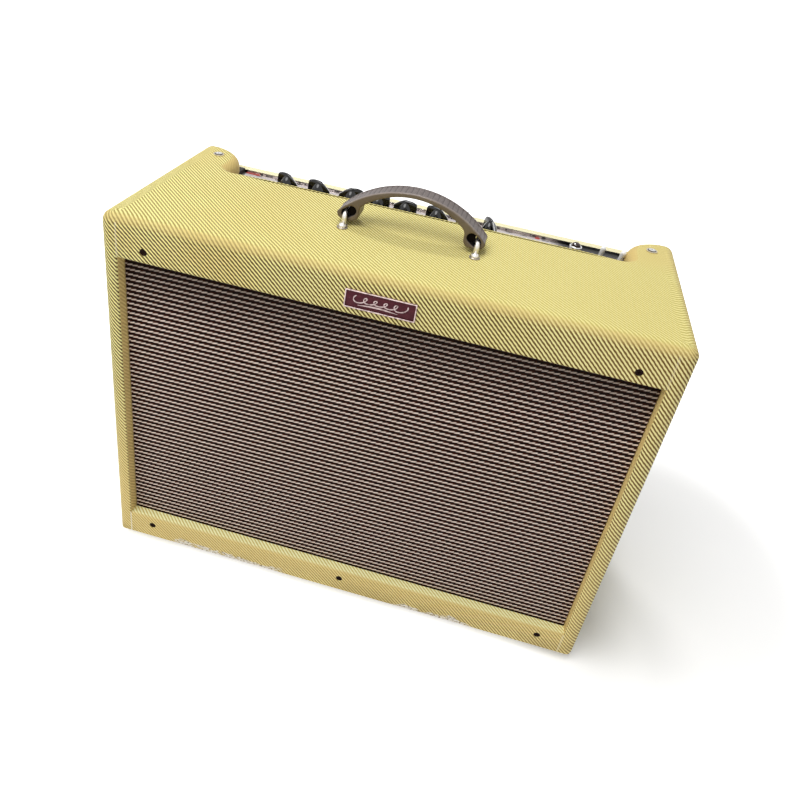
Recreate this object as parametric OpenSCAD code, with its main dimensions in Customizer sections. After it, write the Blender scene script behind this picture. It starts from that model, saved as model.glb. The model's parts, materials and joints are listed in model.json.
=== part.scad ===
// Open-backed combo guitar amplifier: a cloth-covered wooden cabinet with a twelve inch
// loudspeaker, a valve chassis hung under the top and a control panel in a rear recess.
// Origin on the floor under the middle of the cabinet, front towards -Y, up +Z.

/* [Cabinet] */
// Overall width of the cabinet
cab_w = 597; // [590:1:640]
// Overall depth of the cabinet
cab_d = 256; // [252:1:290]
// Height of the cabinet box without its feet
cab_h = 447; // [440:1:500]
// Thickness of the side, top and bottom boards
board_t = 19; // [18:0.5:21]
// Thickness of the two front rails, which is how deep the grille lies
rail_t = 13; // [11:0.5:15]
// Height of the upper front rail from the cabinet top down
top_rail_h = 48; // [44:1:56]
// Height of the lower front rail from the cabinet base up
bottom_rail_h = 35; // [31:1:42]
// Rounding of the top and upright outer edges
edge_r = 13; // [8:0.5:15]
// Rounding of the outer edges underneath
bottom_edge_r = 4; // [2:0.5:8]

/* [Control recess] */
// Depth of the recess in the top board, from the rear edge
notch_d = 78; // [74:1:84]
// Width of each ear that is left beside the recess
ear_w = 58.5; // [48.5:0.5:60]
// Rounding of each ear's inner rear corner
ear_r = 46; // [30:1:50]
// Fillet in each inner front corner of the recess
notch_fillet_r = 12; // [6:1:20]

/* [Baffle and grille] */
// Thickness of the baffle board
baffle_t = 16; // [12:0.5:19]
// Thickness of the grille cloth
cloth_t = 1.5; // [1:0.1:2.5]
// Gap between the baffle and the boards around it
baffle_gap = 1; // [0.5:0.1:2]
// Radius of the loudspeaker hole in the baffle
speaker_hole_r = 138; // [130:1:139]
// Height of the loudspeaker axis above the cabinet base
speaker_up = 205; // [195:1:215]

/* [Back panels] */
// Thickness of the two back panels
back_t = 12; // [9:0.5:13]
// Height of the upper back panel
upper_back_h = 108; // [100:1:120]
// Height of the lower back panel
lower_back_h = 122; // [110:1:130]
// Gap round each back panel
back_gap = 0.6; // [0.4:0.1:1.5]
// Width and depth of the upright cleats behind the back panels
cleat_w = 16; // [14:0.5:18]

/* [Handle] */
// Height of the handle's crown above the cabinet top
handle_rise = 50; // [46:1:56]
// Distance between the outer faces of the handle's two ends
handle_l = 162; // [150:1:175]
// Front to back width of the handle
handle_w = 25; // [20:0.5:28]
// Thickness of the handle's arched grip
grip_t = 5; // [4.5:0.5:8]
// Distance from the cabinet centre back to the handle's middle line
handle_back = -16; // [-24:1:-6]
// Width of each slotted handle end
handle_end_w = 24; // [22:0.5:27]
// Width of the slot that each strap passes through
slot_w = 10.6; // [10:0.1:11.5]
// Overall length of each slot
slot_l = 17; // [16:0.5:18]
// Width of the steel straps that hold the handle
strap_w = 6; // [4:0.5:7]
// Thickness of the steel straps
strap_t = 2.4; // [1.6:0.1:3]

/* [Controls] */
// Diameter of the control spindles
spindle_d = 6; // [5.5:0.1:6.35]
// Running clearance of a spindle in its bush, on the radius
spindle_fit = 0.06; // [0.02:0.01:0.1]
// Height of a pointer knob
knob_h = 18; // [15:0.5:20]
// Distance from a knob's axis to the tip of its pointer
knob_tip = 15.6; // [13:0.1:15.8]
// Distance from a knob's axis to the back of its fin
knob_tail = 13.5; // [9:0.1:13.5]
// Radius of a knob's round skirt
knob_skirt_r = 9.6; // [8:0.1:11]
// Distance from the rear of the cabinet to the row of spindles
control_inset = 42; // [40:0.5:46]
// Bore of a jack for a quarter inch plug
jack_bore_d = 6.5; // [6.4:0.05:6.8]
// Travel of the two latching push buttons
button_travel = 2.5; // [1.5:0.1:3]
// Swing of the two toggle levers
toggle_swing = 26; // [16:1:30]

/* [Chassis] */
// Sheet thickness of the chassis
sheet_t = 1.6; // [1:0.1:2]
// Thickness of the plated control panel
panel_t = 1; // [0.8:0.1:2]
// Height of the chassis box
chassis_h = 56.5; // [52.5:0.5:64]
// Drop of the chassis below the top board, on its wooden packing
deck_drop = 5.5; // [4:0.5:7]
// Depth of the chassis box from front to back
chassis_d = 74; // [70:1:80]
// Gap between each end of the chassis and the cabinet side
chassis_gap = 1.5; // [0.5:0.1:3]

/* [Loudspeaker] */
// Outer radius of the loudspeaker basket
speaker_r = 154; // [150:1:156]
// Thickness of the basket's steel
basket_t = 2; // [1.5:0.1:2.5]
// Thickness of the gasket ring
gasket_t = 4; // [3:0.5:5]
// Depth of the basket from its rim to its seat for the magnet
basket_d = 72; // [66:1:80]
// Radius of the magnet ring
magnet_r = 66; // [50:1:72]
// Thickness of the magnet ring
magnet_t = 20; // [12:1:24]
// Thickness of each steel pole plate
plate_t = 8; // [5:0.5:10]
// Radius of the pole piece
pole_r = 21.6; // [18:0.1:24]
// Furthest the cone moves each way
cone_travel = 3; // [1:0.5:4]
// Thickness of the paper cone
cone_t = 1; // [0.8:0.1:1.5]

/* [Feet and fasteners] */
// Height of the rubber feet
foot_h = 12; // [8:0.5:18]
// Radius of a rubber foot
foot_r = 15; // [12:0.5:18]
// Distance from the cabinet's edges in to the centre of a foot
foot_inset = 38; // [32:1:50]
// Radius of a wood screw's shank
screw_r = 1.9; // [1.5:0.1:2.4]
// Radius of a wood screw's head
head_r = 4; // [3.2:0.1:5]
// Height that the badge and the rear screw heads stand proud
proud = 2.4; // [1.5:0.1:4]

/* [Hidden] */
$fn = 96;
cut = 1;
seat_gap = 0.3;

// Main planes of the cabinet
half_w = cab_w / 2;
front_y = -cab_d / 2;
rear_y = cab_d / 2;
base_z = foot_h;
top_z = base_z + cab_h;
under_z = top_z - board_t;
floor_z = base_z + board_t;
inner_x = half_w - board_t;
opening_low_z = base_z + bottom_rail_h;
opening_high_z = top_z - top_rail_h;
notch_y = rear_y - notch_d;
notch_x = half_w - ear_w;
notch_w = 2 * notch_x;

// Baffle, cloth and loudspeaker axis
cloth_y = front_y + rail_t;
baffle_y = cloth_y + cloth_t;
baffle_back_y = baffle_y + baffle_t;
speaker_z = base_z + speaker_up;
baffle_low_z = floor_z + baffle_gap;
baffle_high_z = under_z - baffle_gap;
bolt_r = 2.5;
bolt_clearance = 0.3;
bolt_nut_r = 4.2;
bolt_nut_t = 4.5;
bolt_count = 8;
basket_step = 4;
bolt_ring_r = (speaker_r + speaker_hole_r + basket_step) / 2;

// Back panels and cleats
back_y = rear_y - back_t;
upper_back_drop = 2;
upper_back_low_z = under_z - upper_back_drop - upper_back_h;
lower_back_low_z = floor_z + back_gap;
cleat_y = back_y - cleat_w;

// Chassis
deck_z = under_z - deck_drop;
panel_z = deck_z + panel_t;
chassis_low_z = deck_z - chassis_h;
chassis_y1 = back_y - back_gap;
chassis_y0 = chassis_y1 - chassis_d;
chassis_x = inner_x - chassis_gap;

// Row of controls, listed from the cabinet's left to its right
control_y = rear_y - control_inset;
row_w = 480;
spread = notch_w / row_w;
knob_x = [for (x = [-175, -134.8, -93.3, -59, -24.8, 14.1, 47, 79.3]) x * spread];
knob_rest = [-22, -14, 196, 184, 172, -20, -100, -62];
knob_gap = 2.4;
knob_z = panel_z + knob_gap;
bush_r = 4.7;
bush_hole_r = bush_r + 0.2;
bush_proud = 0.9;
pot_r = 8.4;
pot_h = 10;
spindle_r = spindle_d / 2;
spindle_hole_r = spindle_r + spindle_fit;
jack_x = [for (x = [-230, -210.5, 103, 121, 143]) x * spread];
jack_y = control_y;
jack_r = 5.6;
jack_h = 22;
jack_case = 16;
jack_proud = 3;
nut_t = 2.2;
nut_r = 7.6;
button_x = [for (x = [-196.2, 160]) x * spread];
button_y = control_y;
button_r = 3.4;
button_proud = 6;
button_case = 10;
pilot_x = 182.8 * spread;
pilot_y = control_y + 2;
pilot_r = 8.6;
toggle_x = [for (x = [211.3, 233.2]) x * spread];
toggle_y = control_y;
toggle_rest = 13;
toggle_bush_r = 4.8;
toggle_bush_proud = 3;
toggle_nut_r = 6.2;
toggle_pivot_z = panel_z - 1.5;

// Loudspeaker
flange_d = gasket_t;
seat_d = flange_d + basket_d;
plate_back_d = seat_d + basket_t + plate_t;
magnet_back_d = plate_back_d + magnet_t;
vent_r = 7;
coil_gap = 0.8;
coil_t = 1;
coil_r = pole_r + coil_gap + coil_t;
cone_edge_r = speaker_hole_r - 11;
cone_edge_d = flange_d + 8;
cone_neck_d = seat_d - 18;
spider_r = 82;
spider_ledge_d = seat_d - 10.8;

// ---- Shared shapes ----

// Square-edged block between two corners
module block(low, high) {
    translate(low) cube(high - low);
}

// Waste left when the corner at the origin is rounded
module corner_waste(r) {
    difference() {
        translate([-cut, -cut]) square(r + cut);
        translate([r, r]) circle(r);
    }
}

// Rectangle with one radius on its lower corners and another on its upper ones
module rounded_rect(low, high, r_low, r_high) {
    difference() {
        translate(low) square(high - low);
        translate(low) corner_waste(r_low);
        translate([high[0], low[1]]) mirror([1, 0]) corner_waste(r_low);
        translate([low[0], high[1]]) mirror([0, 1]) corner_waste(r_high);
        translate(high) mirror([1, 0]) mirror([0, 1]) corner_waste(r_high);
    }
}

// Slot with round ends, centred, along X
module slot_shape(length, width) {
    square([length - width, width], center = true);
    for (side = [-1, 1]) {
        translate([side * (length - width) / 2, 0]) circle(width / 2);
    }
}

// Extrudes an XZ outline from one y to another
module along_y(y0, y1) {
    translate([0, y1, 0]) rotate([90, 0, 0]) linear_extrude(y1 - y0) children();
}

// Extrudes a YZ outline from one x to another
module along_x(x0, x1) {
    translate([x0, 0, 0]) rotate([90, 0, 90]) linear_extrude(x1 - x0) children();
}

// Round bar along Y
module bar_y(x, z, y0, y1, r) {
    translate([x, y0, z]) rotate([-90, 0, 0]) cylinder(h = y1 - y0, r = r);
}

// Round bar along Z
module bar_z(x, y, z0, z1, r) {
    translate([x, y, z0]) cylinder(h = z1 - z0, r = r);
}

// Turned ring with its axis along Z
module ring(r_out, r_in, h) {
    difference() {
        cylinder(h = h, r = r_out);
        translate([0, 0, -cut]) cylinder(h = h + 2 * cut, r = r_in);
    }
}

// Hexagon nut with its axis along Z
module hex_nut(corner_r, bore_r, h) {
    difference() {
        cylinder(h = h, r = corner_r, $fn = 6);
        translate([0, 0, -cut]) cylinder(h = h + 2 * cut, r = bore_r);
    }
}

// Wood screw along Z, head on top at the origin, with a cross recess
module wood_screw(length, head_h) {
    difference() {
        union() {
            translate([0, 0, -length]) cylinder(h = length, r = screw_r);
            cylinder(h = head_h, r = head_r);
        }
        for (turn = [0, 90]) {
            rotate(turn) translate([-head_r * 0.55, -0.5, head_h * 0.4]) cube([head_r * 1.1, 1, head_h]);
        }
    }
}

// The cabinet's outer form, which every covered board is cut to
module cabinet_form() {
    intersection() {
        along_y(front_y, rear_y) {
            rounded_rect([-half_w, base_z], [half_w, top_z], bottom_edge_r, edge_r);
        }
        along_x(-half_w, half_w) {
            rounded_rect([front_y, base_z], [rear_y, top_z], bottom_edge_r, edge_r);
        }
        translate([0, 0, base_z]) linear_extrude(cab_h) {
            rounded_rect([-half_w, front_y], [half_w, rear_y], edge_r, edge_r);
        }
    }
}

// Waste outside the ball that each upper corner is rounded to
ball_r = edge_r + 0.15;

module top_corner_waste() {
    for (sx = [0, 1]) {
        for (sy = [0, 1]) {
            mirror([sx, 0, 0]) mirror([0, sy, 0]) {
                translate([half_w - edge_r, rear_y - edge_r, top_z - edge_r]) difference() {
                    cube(edge_r + cut);
                    sphere(ball_r);
                }
            }
        }
    }
}

// Outline of the recess in the top board, with its fillets and rounded ears
module notch_plan() {
    difference() {
        translate([-notch_x, notch_y]) square([notch_w, notch_d + cut]);
        for (side = [0, 1]) {
            mirror([side, 0]) translate([-notch_x, notch_y]) corner_waste(notch_fillet_r);
        }
    }
    for (side = [0, 1]) {
        mirror([side, 0]) translate([notch_x, rear_y]) mirror([0, 1]) corner_waste(ear_r);
    }
}

// ---- Cabinet ----

module side_board(side) {
    color("khaki") intersection() {
        cabinet_form();
        if (side < 0) {
            block([-half_w, front_y, base_z], [-inner_x, rear_y, top_z]);
        } else {
            block([inner_x, front_y, base_z], [half_w, rear_y, top_z]);
        }
    }
}

module side_left() {
    difference() {
        side_board(-1);
        top_corner_waste();
        foot_screw_holes();
    }
}

module side_right() {
    difference() {
        side_board(1);
        top_corner_waste();
        foot_screw_holes();
    }
}

module top_board() {
    color("khaki") difference() {
        intersection() {
            cabinet_form();
            block([-inner_x, front_y, under_z], [inner_x, rear_y, top_z]);
        }
        translate([0, 0, under_z - cut]) linear_extrude(board_t + 2 * cut) notch_plan();
        for (x = strap_x) {
            for (y = strap_foot_y) {
                bar_z(x, y, top_z - strap_screw_l, top_z + cut, screw_r);
            }
        }
        for (x = chassis_screw_x) {
            bar_z(x, chassis_screw_y, under_z - cut, top_z + cut, chassis_screw_r + 0.2);
        }
    }
}

module bottom_board() {
    color("khaki") difference() {
        intersection() {
            cabinet_form();
            block([-inner_x, front_y, base_z], [inner_x, rear_y, floor_z]);
        }
        foot_screw_holes();
        front_screw_holes();
    }
}

front_screw_x = 250;
front_screw_up = 22;
front_screw_down = 35;
front_screw_l = 24;
front_screw_sink = 0.5;
front_screw_spots = [
    [-front_screw_x, top_z - front_screw_down], [front_screw_x, top_z - front_screw_down],
    [-front_screw_x, base_z + front_screw_up], [0, base_z + front_screw_up],
    [front_screw_x, base_z + front_screw_up]
];

module front_screw_holes() {
    for (spot = front_screw_spots) {
        bar_y(spot[0], spot[1], front_y - cut, front_y + front_screw_l + cut, screw_r);
        bar_y(spot[0], spot[1], front_y - cut, front_y + head_h + front_screw_sink, head_r + 0.1);
    }
}

module front_top_rail() {
    color("khaki") difference() {
        block([-inner_x, front_y, opening_high_z], [inner_x, cloth_y, under_z]);
        front_screw_holes();
        badge_pin_holes();
    }
}

module front_bottom_rail() {
    color("khaki") difference() {
        block([-inner_x, front_y, floor_z], [inner_x, cloth_y, opening_low_z]);
        front_screw_holes();
    }
}

module baffle_board() {
    color("burlywood") difference() {
        block([-inner_x + baffle_gap, baffle_y, baffle_low_z],
              [inner_x - baffle_gap, baffle_back_y, baffle_high_z]);
        bar_y(0, speaker_z, baffle_y - cut, baffle_back_y + cut, speaker_hole_r);
        speaker_bolt_holes(baffle_y - cut, baffle_back_y + cut);
        front_screw_holes();
    }
}

module grille_cloth() {
    color([0.25, 0.12, 0.1]) difference() {
        block([-inner_x + baffle_gap, cloth_y, baffle_low_z],
              [inner_x - baffle_gap, baffle_y, baffle_high_z]);
        front_screw_holes();
    }
}

// Upright cleats behind the back panels, and the packing that the chassis hangs from
packing_x = notch_x + 2.5;
packing_gap = 0.4;

module back_cleats() {
    color("burlywood") difference() {
        for (side = [0, 1]) {
            mirror([side, 0, 0]) {
                block([inner_x - cleat_w, cleat_y, floor_z], [inner_x, back_y, chassis_low_z - seat_gap]);
            }
        }
        back_screw_holes();
    }
    color("burlywood") {
        block([-packing_x + packing_gap, chassis_y0, deck_z], [packing_x - packing_gap, notch_y, under_z]);
        for (side = [0, 1]) {
            mirror([side, 0, 0]) difference() {
                block([packing_x, chassis_y0, deck_z], [inner_x, chassis_y1, under_z]);
                bar_z(chassis_screw_x[1], chassis_screw_y, deck_z - cut, under_z + cut, chassis_screw_r + 0.2);
            }
        }
    }
}

back_screw_x = inner_x - cleat_w / 2;
back_screw_l = 24;
back_screw_spots = [
    for (x = [-back_screw_x, back_screw_x])
    for (z = [upper_back_low_z + 14, lower_back_low_z + 16, lower_back_low_z + lower_back_h - 16])
    [x, z]
];

module back_screw_holes() {
    for (spot = back_screw_spots) {
        bar_y(spot[0], spot[1], rear_y - back_screw_l, rear_y + cut, screw_r);
    }
}

module back_panel(low_z, height) {
    difference() {
        block([-inner_x + back_gap, back_y, low_z], [inner_x - back_gap, rear_y, low_z + height]);
        back_screw_holes();
    }
}

module upper_back_panel() {
    color("khaki") difference() {
        back_panel(upper_back_low_z, upper_back_h);
        inlet_cutout(back_y - cut, rear_y + cut, 0.4);
    }
}

module lower_back_panel() {
    color("khaki") back_panel(lower_back_low_z, lower_back_h);
}

// Screws of the back panels with their cup washers, and of the feet
module wood_screws() {
    color("gainsboro") {
        for (spot = back_screw_spots) {
            translate([spot[0], rear_y, spot[1]]) rotate([-90, 0, 0]) {
                wood_screw(back_screw_l, proud);
            }
            translate([spot[0], rear_y, spot[1]]) rotate([-90, 0, 0]) {
                ring(head_r + 2.4, head_r + 0.1, proud * 0.55);
            }
        }
        for (x = foot_x) {
            for (y = foot_y) {
                translate([x, y, foot_recess_z]) rotate([180, 0, 0]) wood_screw(foot_screw_l, head_h);
            }
        }
    }
}

module front_screws() {
    color([0.1, 0.1, 0.1]) for (spot = front_screw_spots) {
        translate([spot[0], front_y + head_h + front_screw_sink, spot[1]]) rotate([90, 0, 0]) {
            wood_screw(front_screw_l - head_h - front_screw_sink, head_h);
        }
    }
}

// ---- Badge ----

badge_w = 72;
badge_h = 20;
badge_x = -2;
badge_z = top_z - 29;
badge_rim = 1.3;
badge_field_t = 1.2;
badge_pin_r = 1;
badge_pin_l = 8;
badge_pin_x = [badge_x - badge_w / 2 + 4, badge_x + badge_w / 2 - 4];

module badge_pin_holes() {
    for (x = badge_pin_x) {
        bar_y(x, badge_z, front_y - cut, front_y + badge_pin_l, badge_pin_r);
    }
}

module badge() {
    color([0.45, 0.12, 0.16]) {
        along_y(front_y - proud, front_y) {
            difference() {
                translate([badge_x - badge_w / 2, badge_z - badge_h / 2]) square([badge_w, badge_h]);
                translate([badge_x - badge_w / 2 + badge_rim, badge_z - badge_h / 2 + badge_rim]) {
                    square([badge_w - 2 * badge_rim, badge_h - 2 * badge_rim]);
                }
            }
        }
        translate([badge_x - badge_w / 2 + badge_rim, front_y - badge_field_t, badge_z - badge_h / 2 + badge_rim]) {
            cube([badge_w - 2 * badge_rim, badge_field_t, badge_h - 2 * badge_rim]);
        }
        for (x = badge_pin_x) {
            bar_y(x, badge_z, front_y - badge_field_t / 2, front_y + badge_pin_l, badge_pin_r);
        }
    }
}

// ---- Handle ----

handle_x = 0.5;
handle_low_z = top_z + 5.3;
handle_end_h = 22;
grip_half = handle_l / 2 - 7;
crown_z = top_z + handle_rise;
arch_drop = handle_rise - 20.5;
arch_r = (grip_half * grip_half + arch_drop * arch_drop) / (2 * arch_drop);
under_r = arch_r * 0.77;
handle_fillet = 9;
slot_angle = 35;
slot_up = 15;
slot_in = 13;
strap_out = 9.3;
strap_x = [handle_x - handle_l / 2 + strap_out, handle_x + handle_l / 2 - strap_out];
strap_foot_l = 9;
strap_gap = 2;
strap_screw_l = 15;
strap_reach = handle_w / 2 + strap_gap + strap_t;
strap_foot_y = [
    handle_back - strap_reach - head_r - seat_gap,
    handle_back + strap_reach + head_r + seat_gap
];
slot_run = (slot_l - slot_w) / 2;
slot_end_x = slot_in - slot_run * cos(slot_angle);
slot_end_z = top_z + slot_up - slot_run * sin(slot_angle);
strap_edge_x = abs(strap_out - slot_end_x) + strap_w / 2;
strap_top_z = slot_end_z + sqrt(slot_w * slot_w / 4 - strap_edge_x * strap_edge_x) - seat_gap;

// Front view of the handle: an arched grip that turns down into two slotted ends
module handle_outline() {
    offset(r = -handle_fillet) offset(delta = handle_fillet) {
        intersection() {
            difference() {
                translate([handle_x, crown_z - arch_r]) circle(arch_r, $fn = 240);
                translate([handle_x, crown_z - grip_t - under_r]) circle(under_r, $fn = 240);
            }
            translate([handle_x - handle_l / 2 + 8, top_z + 18]) square([handle_l - 16, handle_rise]);
        }
        for (side = [0, 1]) {
            translate([handle_x, 0]) mirror([side, 0]) {
                intersection() {
                    rounded_rect([-handle_l / 2, handle_low_z],
                                 [-handle_l / 2 + handle_end_w, handle_low_z + handle_end_h + 9], 8, 8);
                    translate([0, crown_z - arch_r]) circle(arch_r, $fn = 240);
                }
            }
        }
    }
}

module handle() {
    color([0.42, 0.36, 0.34]) difference() {
        along_y(handle_back - handle_w / 2, handle_back + handle_w / 2) handle_outline();
        for (side = [0, 1]) {
            translate([handle_x, 0, 0]) mirror([side, 0, 0]) {
                along_y(handle_back - handle_w / 2 - cut, handle_back + handle_w / 2 + cut) {
                    translate([-handle_l / 2 + slot_in, top_z + slot_up]) rotate(slot_angle) {
                        slot_shape(slot_l, slot_w);
                    }
                }
            }
        }
    }
}

// Side view of one strap: two feet and a bridge through the handle's slot
module strap_profile() {
    low_y = handle_back - strap_reach;
    high_y = handle_back + strap_reach;
    difference() {
        translate([low_y, top_z]) square([high_y - low_y, strap_top_z - top_z]);
        translate([low_y + strap_t, top_z - cut]) {
            square([high_y - low_y - 2 * strap_t, strap_top_z - strap_t - top_z + cut]);
        }
    }
    translate([low_y - strap_foot_l + strap_t, top_z]) square([strap_foot_l, strap_t]);
    translate([high_y - strap_t, top_z]) square([strap_foot_l, strap_t]);
}

module handle_straps() {
    color("silver") for (x = strap_x) {
        difference() {
            union() {
                along_x(x - strap_w / 2, x + strap_w / 2) strap_profile();
                for (y = strap_foot_y) {
                    bar_z(x, y, top_z, top_z + strap_t, strap_foot_l / 2);
                }
            }
            for (y = strap_foot_y) {
                bar_z(x, y, top_z - cut, top_z + strap_t + cut, screw_r + 0.2);
            }
        }
    }
}

module strap_screws() {
    color("silver") for (x = strap_x) {
        for (y = strap_foot_y) {
            translate([x, y, top_z + strap_t]) wood_screw(strap_screw_l + strap_t, head_h);
        }
    }
}

// ---- Feet ----

head_h = 2.2;
foot_x = [-half_w + foot_inset, half_w - foot_inset];
foot_y = [front_y + foot_inset, rear_y - foot_inset];
foot_recess_z = foot_h - 7;
foot_screw_l = 20;

module foot_screw_holes() {
    for (x = foot_x) {
        for (y = foot_y) {
            bar_z(x, y, base_z - cut, foot_recess_z + foot_screw_l, screw_r);
        }
    }
}

module feet() {
    color([0.12, 0.12, 0.12]) for (x = foot_x) {
        for (y = foot_y) {
            difference() {
                translate([x, y, 0]) cylinder(h = foot_h, r1 = foot_r - 2, r2 = foot_r);
                bar_z(x, y, -cut, foot_recess_z, head_r + 1);
                bar_z(x, y, -cut, foot_h + cut, screw_r + 0.1);
            }
        }
    }
}

// ---- Chassis and control panel ----

chassis_screw_in = 30.5;
chassis_screw_x = [-half_w + chassis_screw_in, half_w - chassis_screw_in];
chassis_screw_back = 36.5;
chassis_screw_y = rear_y - chassis_screw_back;
chassis_screw_r = 2.4;
chassis_nut_t = 4;

// Holes for everything that passes through the panel
module control_holes(z0, z1) {
    for (x = knob_x) {
        bar_z(x, control_y, z0, z1, bush_hole_r);
    }
    for (x = jack_x) {
        bar_z(x, jack_y, z0, z1, jack_r + 0.2);
    }
    for (x = button_x) {
        bar_z(x, button_y, z0, z1, button_r + 0.5);
    }
    bar_z(pilot_x, pilot_y, z0, z1, pilot_r - 1.4);
    for (x = toggle_x) {
        bar_z(x, toggle_y, z0, z1, toggle_bush_r + 0.2);
    }
}

// Tray that carries the electronics, and the plate that closes it under the control panel
module chassis() {
    plate_z = deck_z - sheet_t;
    color("gray") difference() {
        block([-chassis_x, chassis_y0, chassis_low_z], [chassis_x, chassis_y1, plate_z - seat_gap]);
        block([-chassis_x + sheet_t, chassis_y0 + sheet_t, chassis_low_z + sheet_t],
              [chassis_x - sheet_t, chassis_y1 + cut, plate_z]);
        for (spot = valve_spots) {
            bar_z(spot[0], valve_y, chassis_low_z - cut, chassis_low_z + sheet_t + cut, spot[1] - socket_step);
        }
    }
    color("gray") difference() {
        block([-chassis_x, chassis_y0, plate_z], [chassis_x, chassis_y1, deck_z]);
        control_holes(plate_z - cut, deck_z + cut);
        for (x = chassis_screw_x) {
            bar_z(x, chassis_screw_y, plate_z - cut, deck_z + cut, chassis_screw_r + 0.2);
        }
    }
}

panel_side_gap = 0.8;

module control_panel() {
    color("gainsboro") difference() {
        intersection() {
            block([-notch_x - ear_r, notch_y + 0.4, deck_z], [notch_x + ear_r, chassis_y1, panel_z]);
            translate([0, 0, deck_z - cut]) linear_extrude(panel_t + 2 * cut) {
                difference() {
                    notch_plan();
                    for (side = [0, 1]) {
                        mirror([side, 0]) translate([notch_x - panel_side_gap, notch_y - cut]) {
                            square([ear_r + panel_side_gap + cut, notch_d + 3 * cut]);
                        }
                    }
                }
            }
        }
        control_holes(deck_z - cut, panel_z + cut);
    }
}

module chassis_screws() {
    color("silver") for (x = chassis_screw_x) {
        translate([x, chassis_screw_y, top_z]) {
            difference() {
                union() {
                    translate([0, 0, deck_z - sheet_t - 7 - top_z]) {
                        cylinder(h = board_t + deck_drop + sheet_t + 7, r = chassis_screw_r);
                    }
                    cylinder(h = head_h, r = head_r + 0.6);
                }
                for (turn = [0, 90]) {
                    rotate(turn) translate([-2.4, -0.5, head_h * 0.4]) cube([4.8, 1, head_h]);
                }
            }
            ring(head_r + 2.6, head_r + 0.7, head_h * 0.6);
        }
        translate([x, chassis_screw_y, deck_z - sheet_t - chassis_nut_t]) {
            hex_nut(5.2, chassis_screw_r + 0.05, chassis_nut_t);
        }
    }
}

// ---- Knobs, potentiometers and jacks ----

spindle_low_z = deck_z - sheet_t - 3;
knob_fin_w = 9;
knob_tip_w = 3.4;
knob_tip_h = 10;
knob_skirt_h = 5;

// Plan of the knob's fin, pointer towards +X
module fin_plan() {
    polygon([
        [-knob_tail, -knob_fin_w / 2 + 0.6], [-knob_tail, knob_fin_w / 2 - 0.6],
        [0, knob_fin_w / 2], [knob_tip, knob_tip_w / 2], [knob_tip, -knob_tip_w / 2],
        [0, -knob_fin_w / 2]
    ]);
}

// Side view of the fin, which slopes down to its pointer
module fin_side() {
    polygon([
        [-knob_tail, 0], [knob_tip, 0], [knob_tip, knob_tip_h], [6, knob_h - 1.5],
        [1, knob_h], [-5, knob_h], [-knob_tail, knob_h - 4]
    ]);
}

// Pointer knob with its spindle
module knob(index) {
    translate([knob_x[index], control_y, knob_z]) rotate(knob_rest[index]) {
        color([0.08, 0.08, 0.08]) difference() {
            union() {
                intersection() {
                    linear_extrude(knob_h) fin_plan();
                    translate([0, knob_fin_w, 0]) rotate([90, 0, 0]) {
                        linear_extrude(2 * knob_fin_w) fin_side();
                    }
                }
                cylinder(h = knob_skirt_h, r1 = knob_skirt_r, r2 = knob_skirt_r - 1.2);
            }
            translate([0, 0, -cut]) cylinder(h = knob_h - 3 + cut, r = spindle_r + 0.02);
        }
        color("tan") translate([0, 0, spindle_low_z - knob_z]) {
            cylinder(h = knob_z + knob_h - 4 - spindle_low_z, r = spindle_r);
        }
    }
}

module knob_presence() { knob(0); }
module knob_reverb() { knob(1); }
module knob_master() { knob(2); }
module knob_middle() { knob(3); }
module knob_bass() { knob(4); }
module knob_treble() { knob(5); }
module knob_drive() { knob(6); }
module knob_volume() { knob(7); }

module potentiometers() {
    color("darkgray") for (x = knob_x) {
        difference() {
            union() {
                bar_z(x, control_y, deck_z - sheet_t - pot_h, deck_z - sheet_t, pot_r);
                bar_z(x, control_y, deck_z - sheet_t, panel_z + bush_proud, bush_r);
                block([x - 6, control_y + pot_r - 3, deck_z - sheet_t - pot_h],
                      [x + 6, control_y + pot_r + 5, deck_z - sheet_t - pot_h + 1.2]);
            }
            bar_z(x, control_y, spindle_low_z - 0.3, panel_z + bush_proud + cut, spindle_hole_r);
        }
    }
}

module jacks() {
    color("dimgray") for (x = jack_x) {
        difference() {
            union() {
                bar_z(x, jack_y, deck_z - sheet_t - 1, panel_z + jack_proud, jack_r);
                block([x - jack_case / 2, jack_y - jack_case / 2, deck_z - sheet_t - jack_h],
                      [x + jack_case / 2, jack_y + jack_case / 2, deck_z - sheet_t]);
            }
            bar_z(x, jack_y, deck_z - sheet_t - jack_h + 3, panel_z + jack_proud + cut, jack_bore_d / 2);
        }
    }
}

module panel_nuts() {
    color("silver") {
        for (x = jack_x) {
            translate([x, jack_y, panel_z]) hex_nut(nut_r, jack_r + 0.05, nut_t);
        }
        for (x = toggle_x) {
            translate([x, toggle_y, panel_z]) hex_nut(toggle_nut_r, toggle_bush_r + 0.05, 1.6);
        }
    }
}

// ---- Push buttons, pilot lamp and toggles ----

module button(index) {
    color("silver") translate([button_x[index], button_y, deck_z - sheet_t - 4]) {
        cylinder(h = panel_z + button_proud - deck_z + sheet_t + 4, r = button_r);
    }
}

module button_bright() { button(0); }
module button_channel() { button(1); }

toggle_case = [13, 22, 20];

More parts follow.
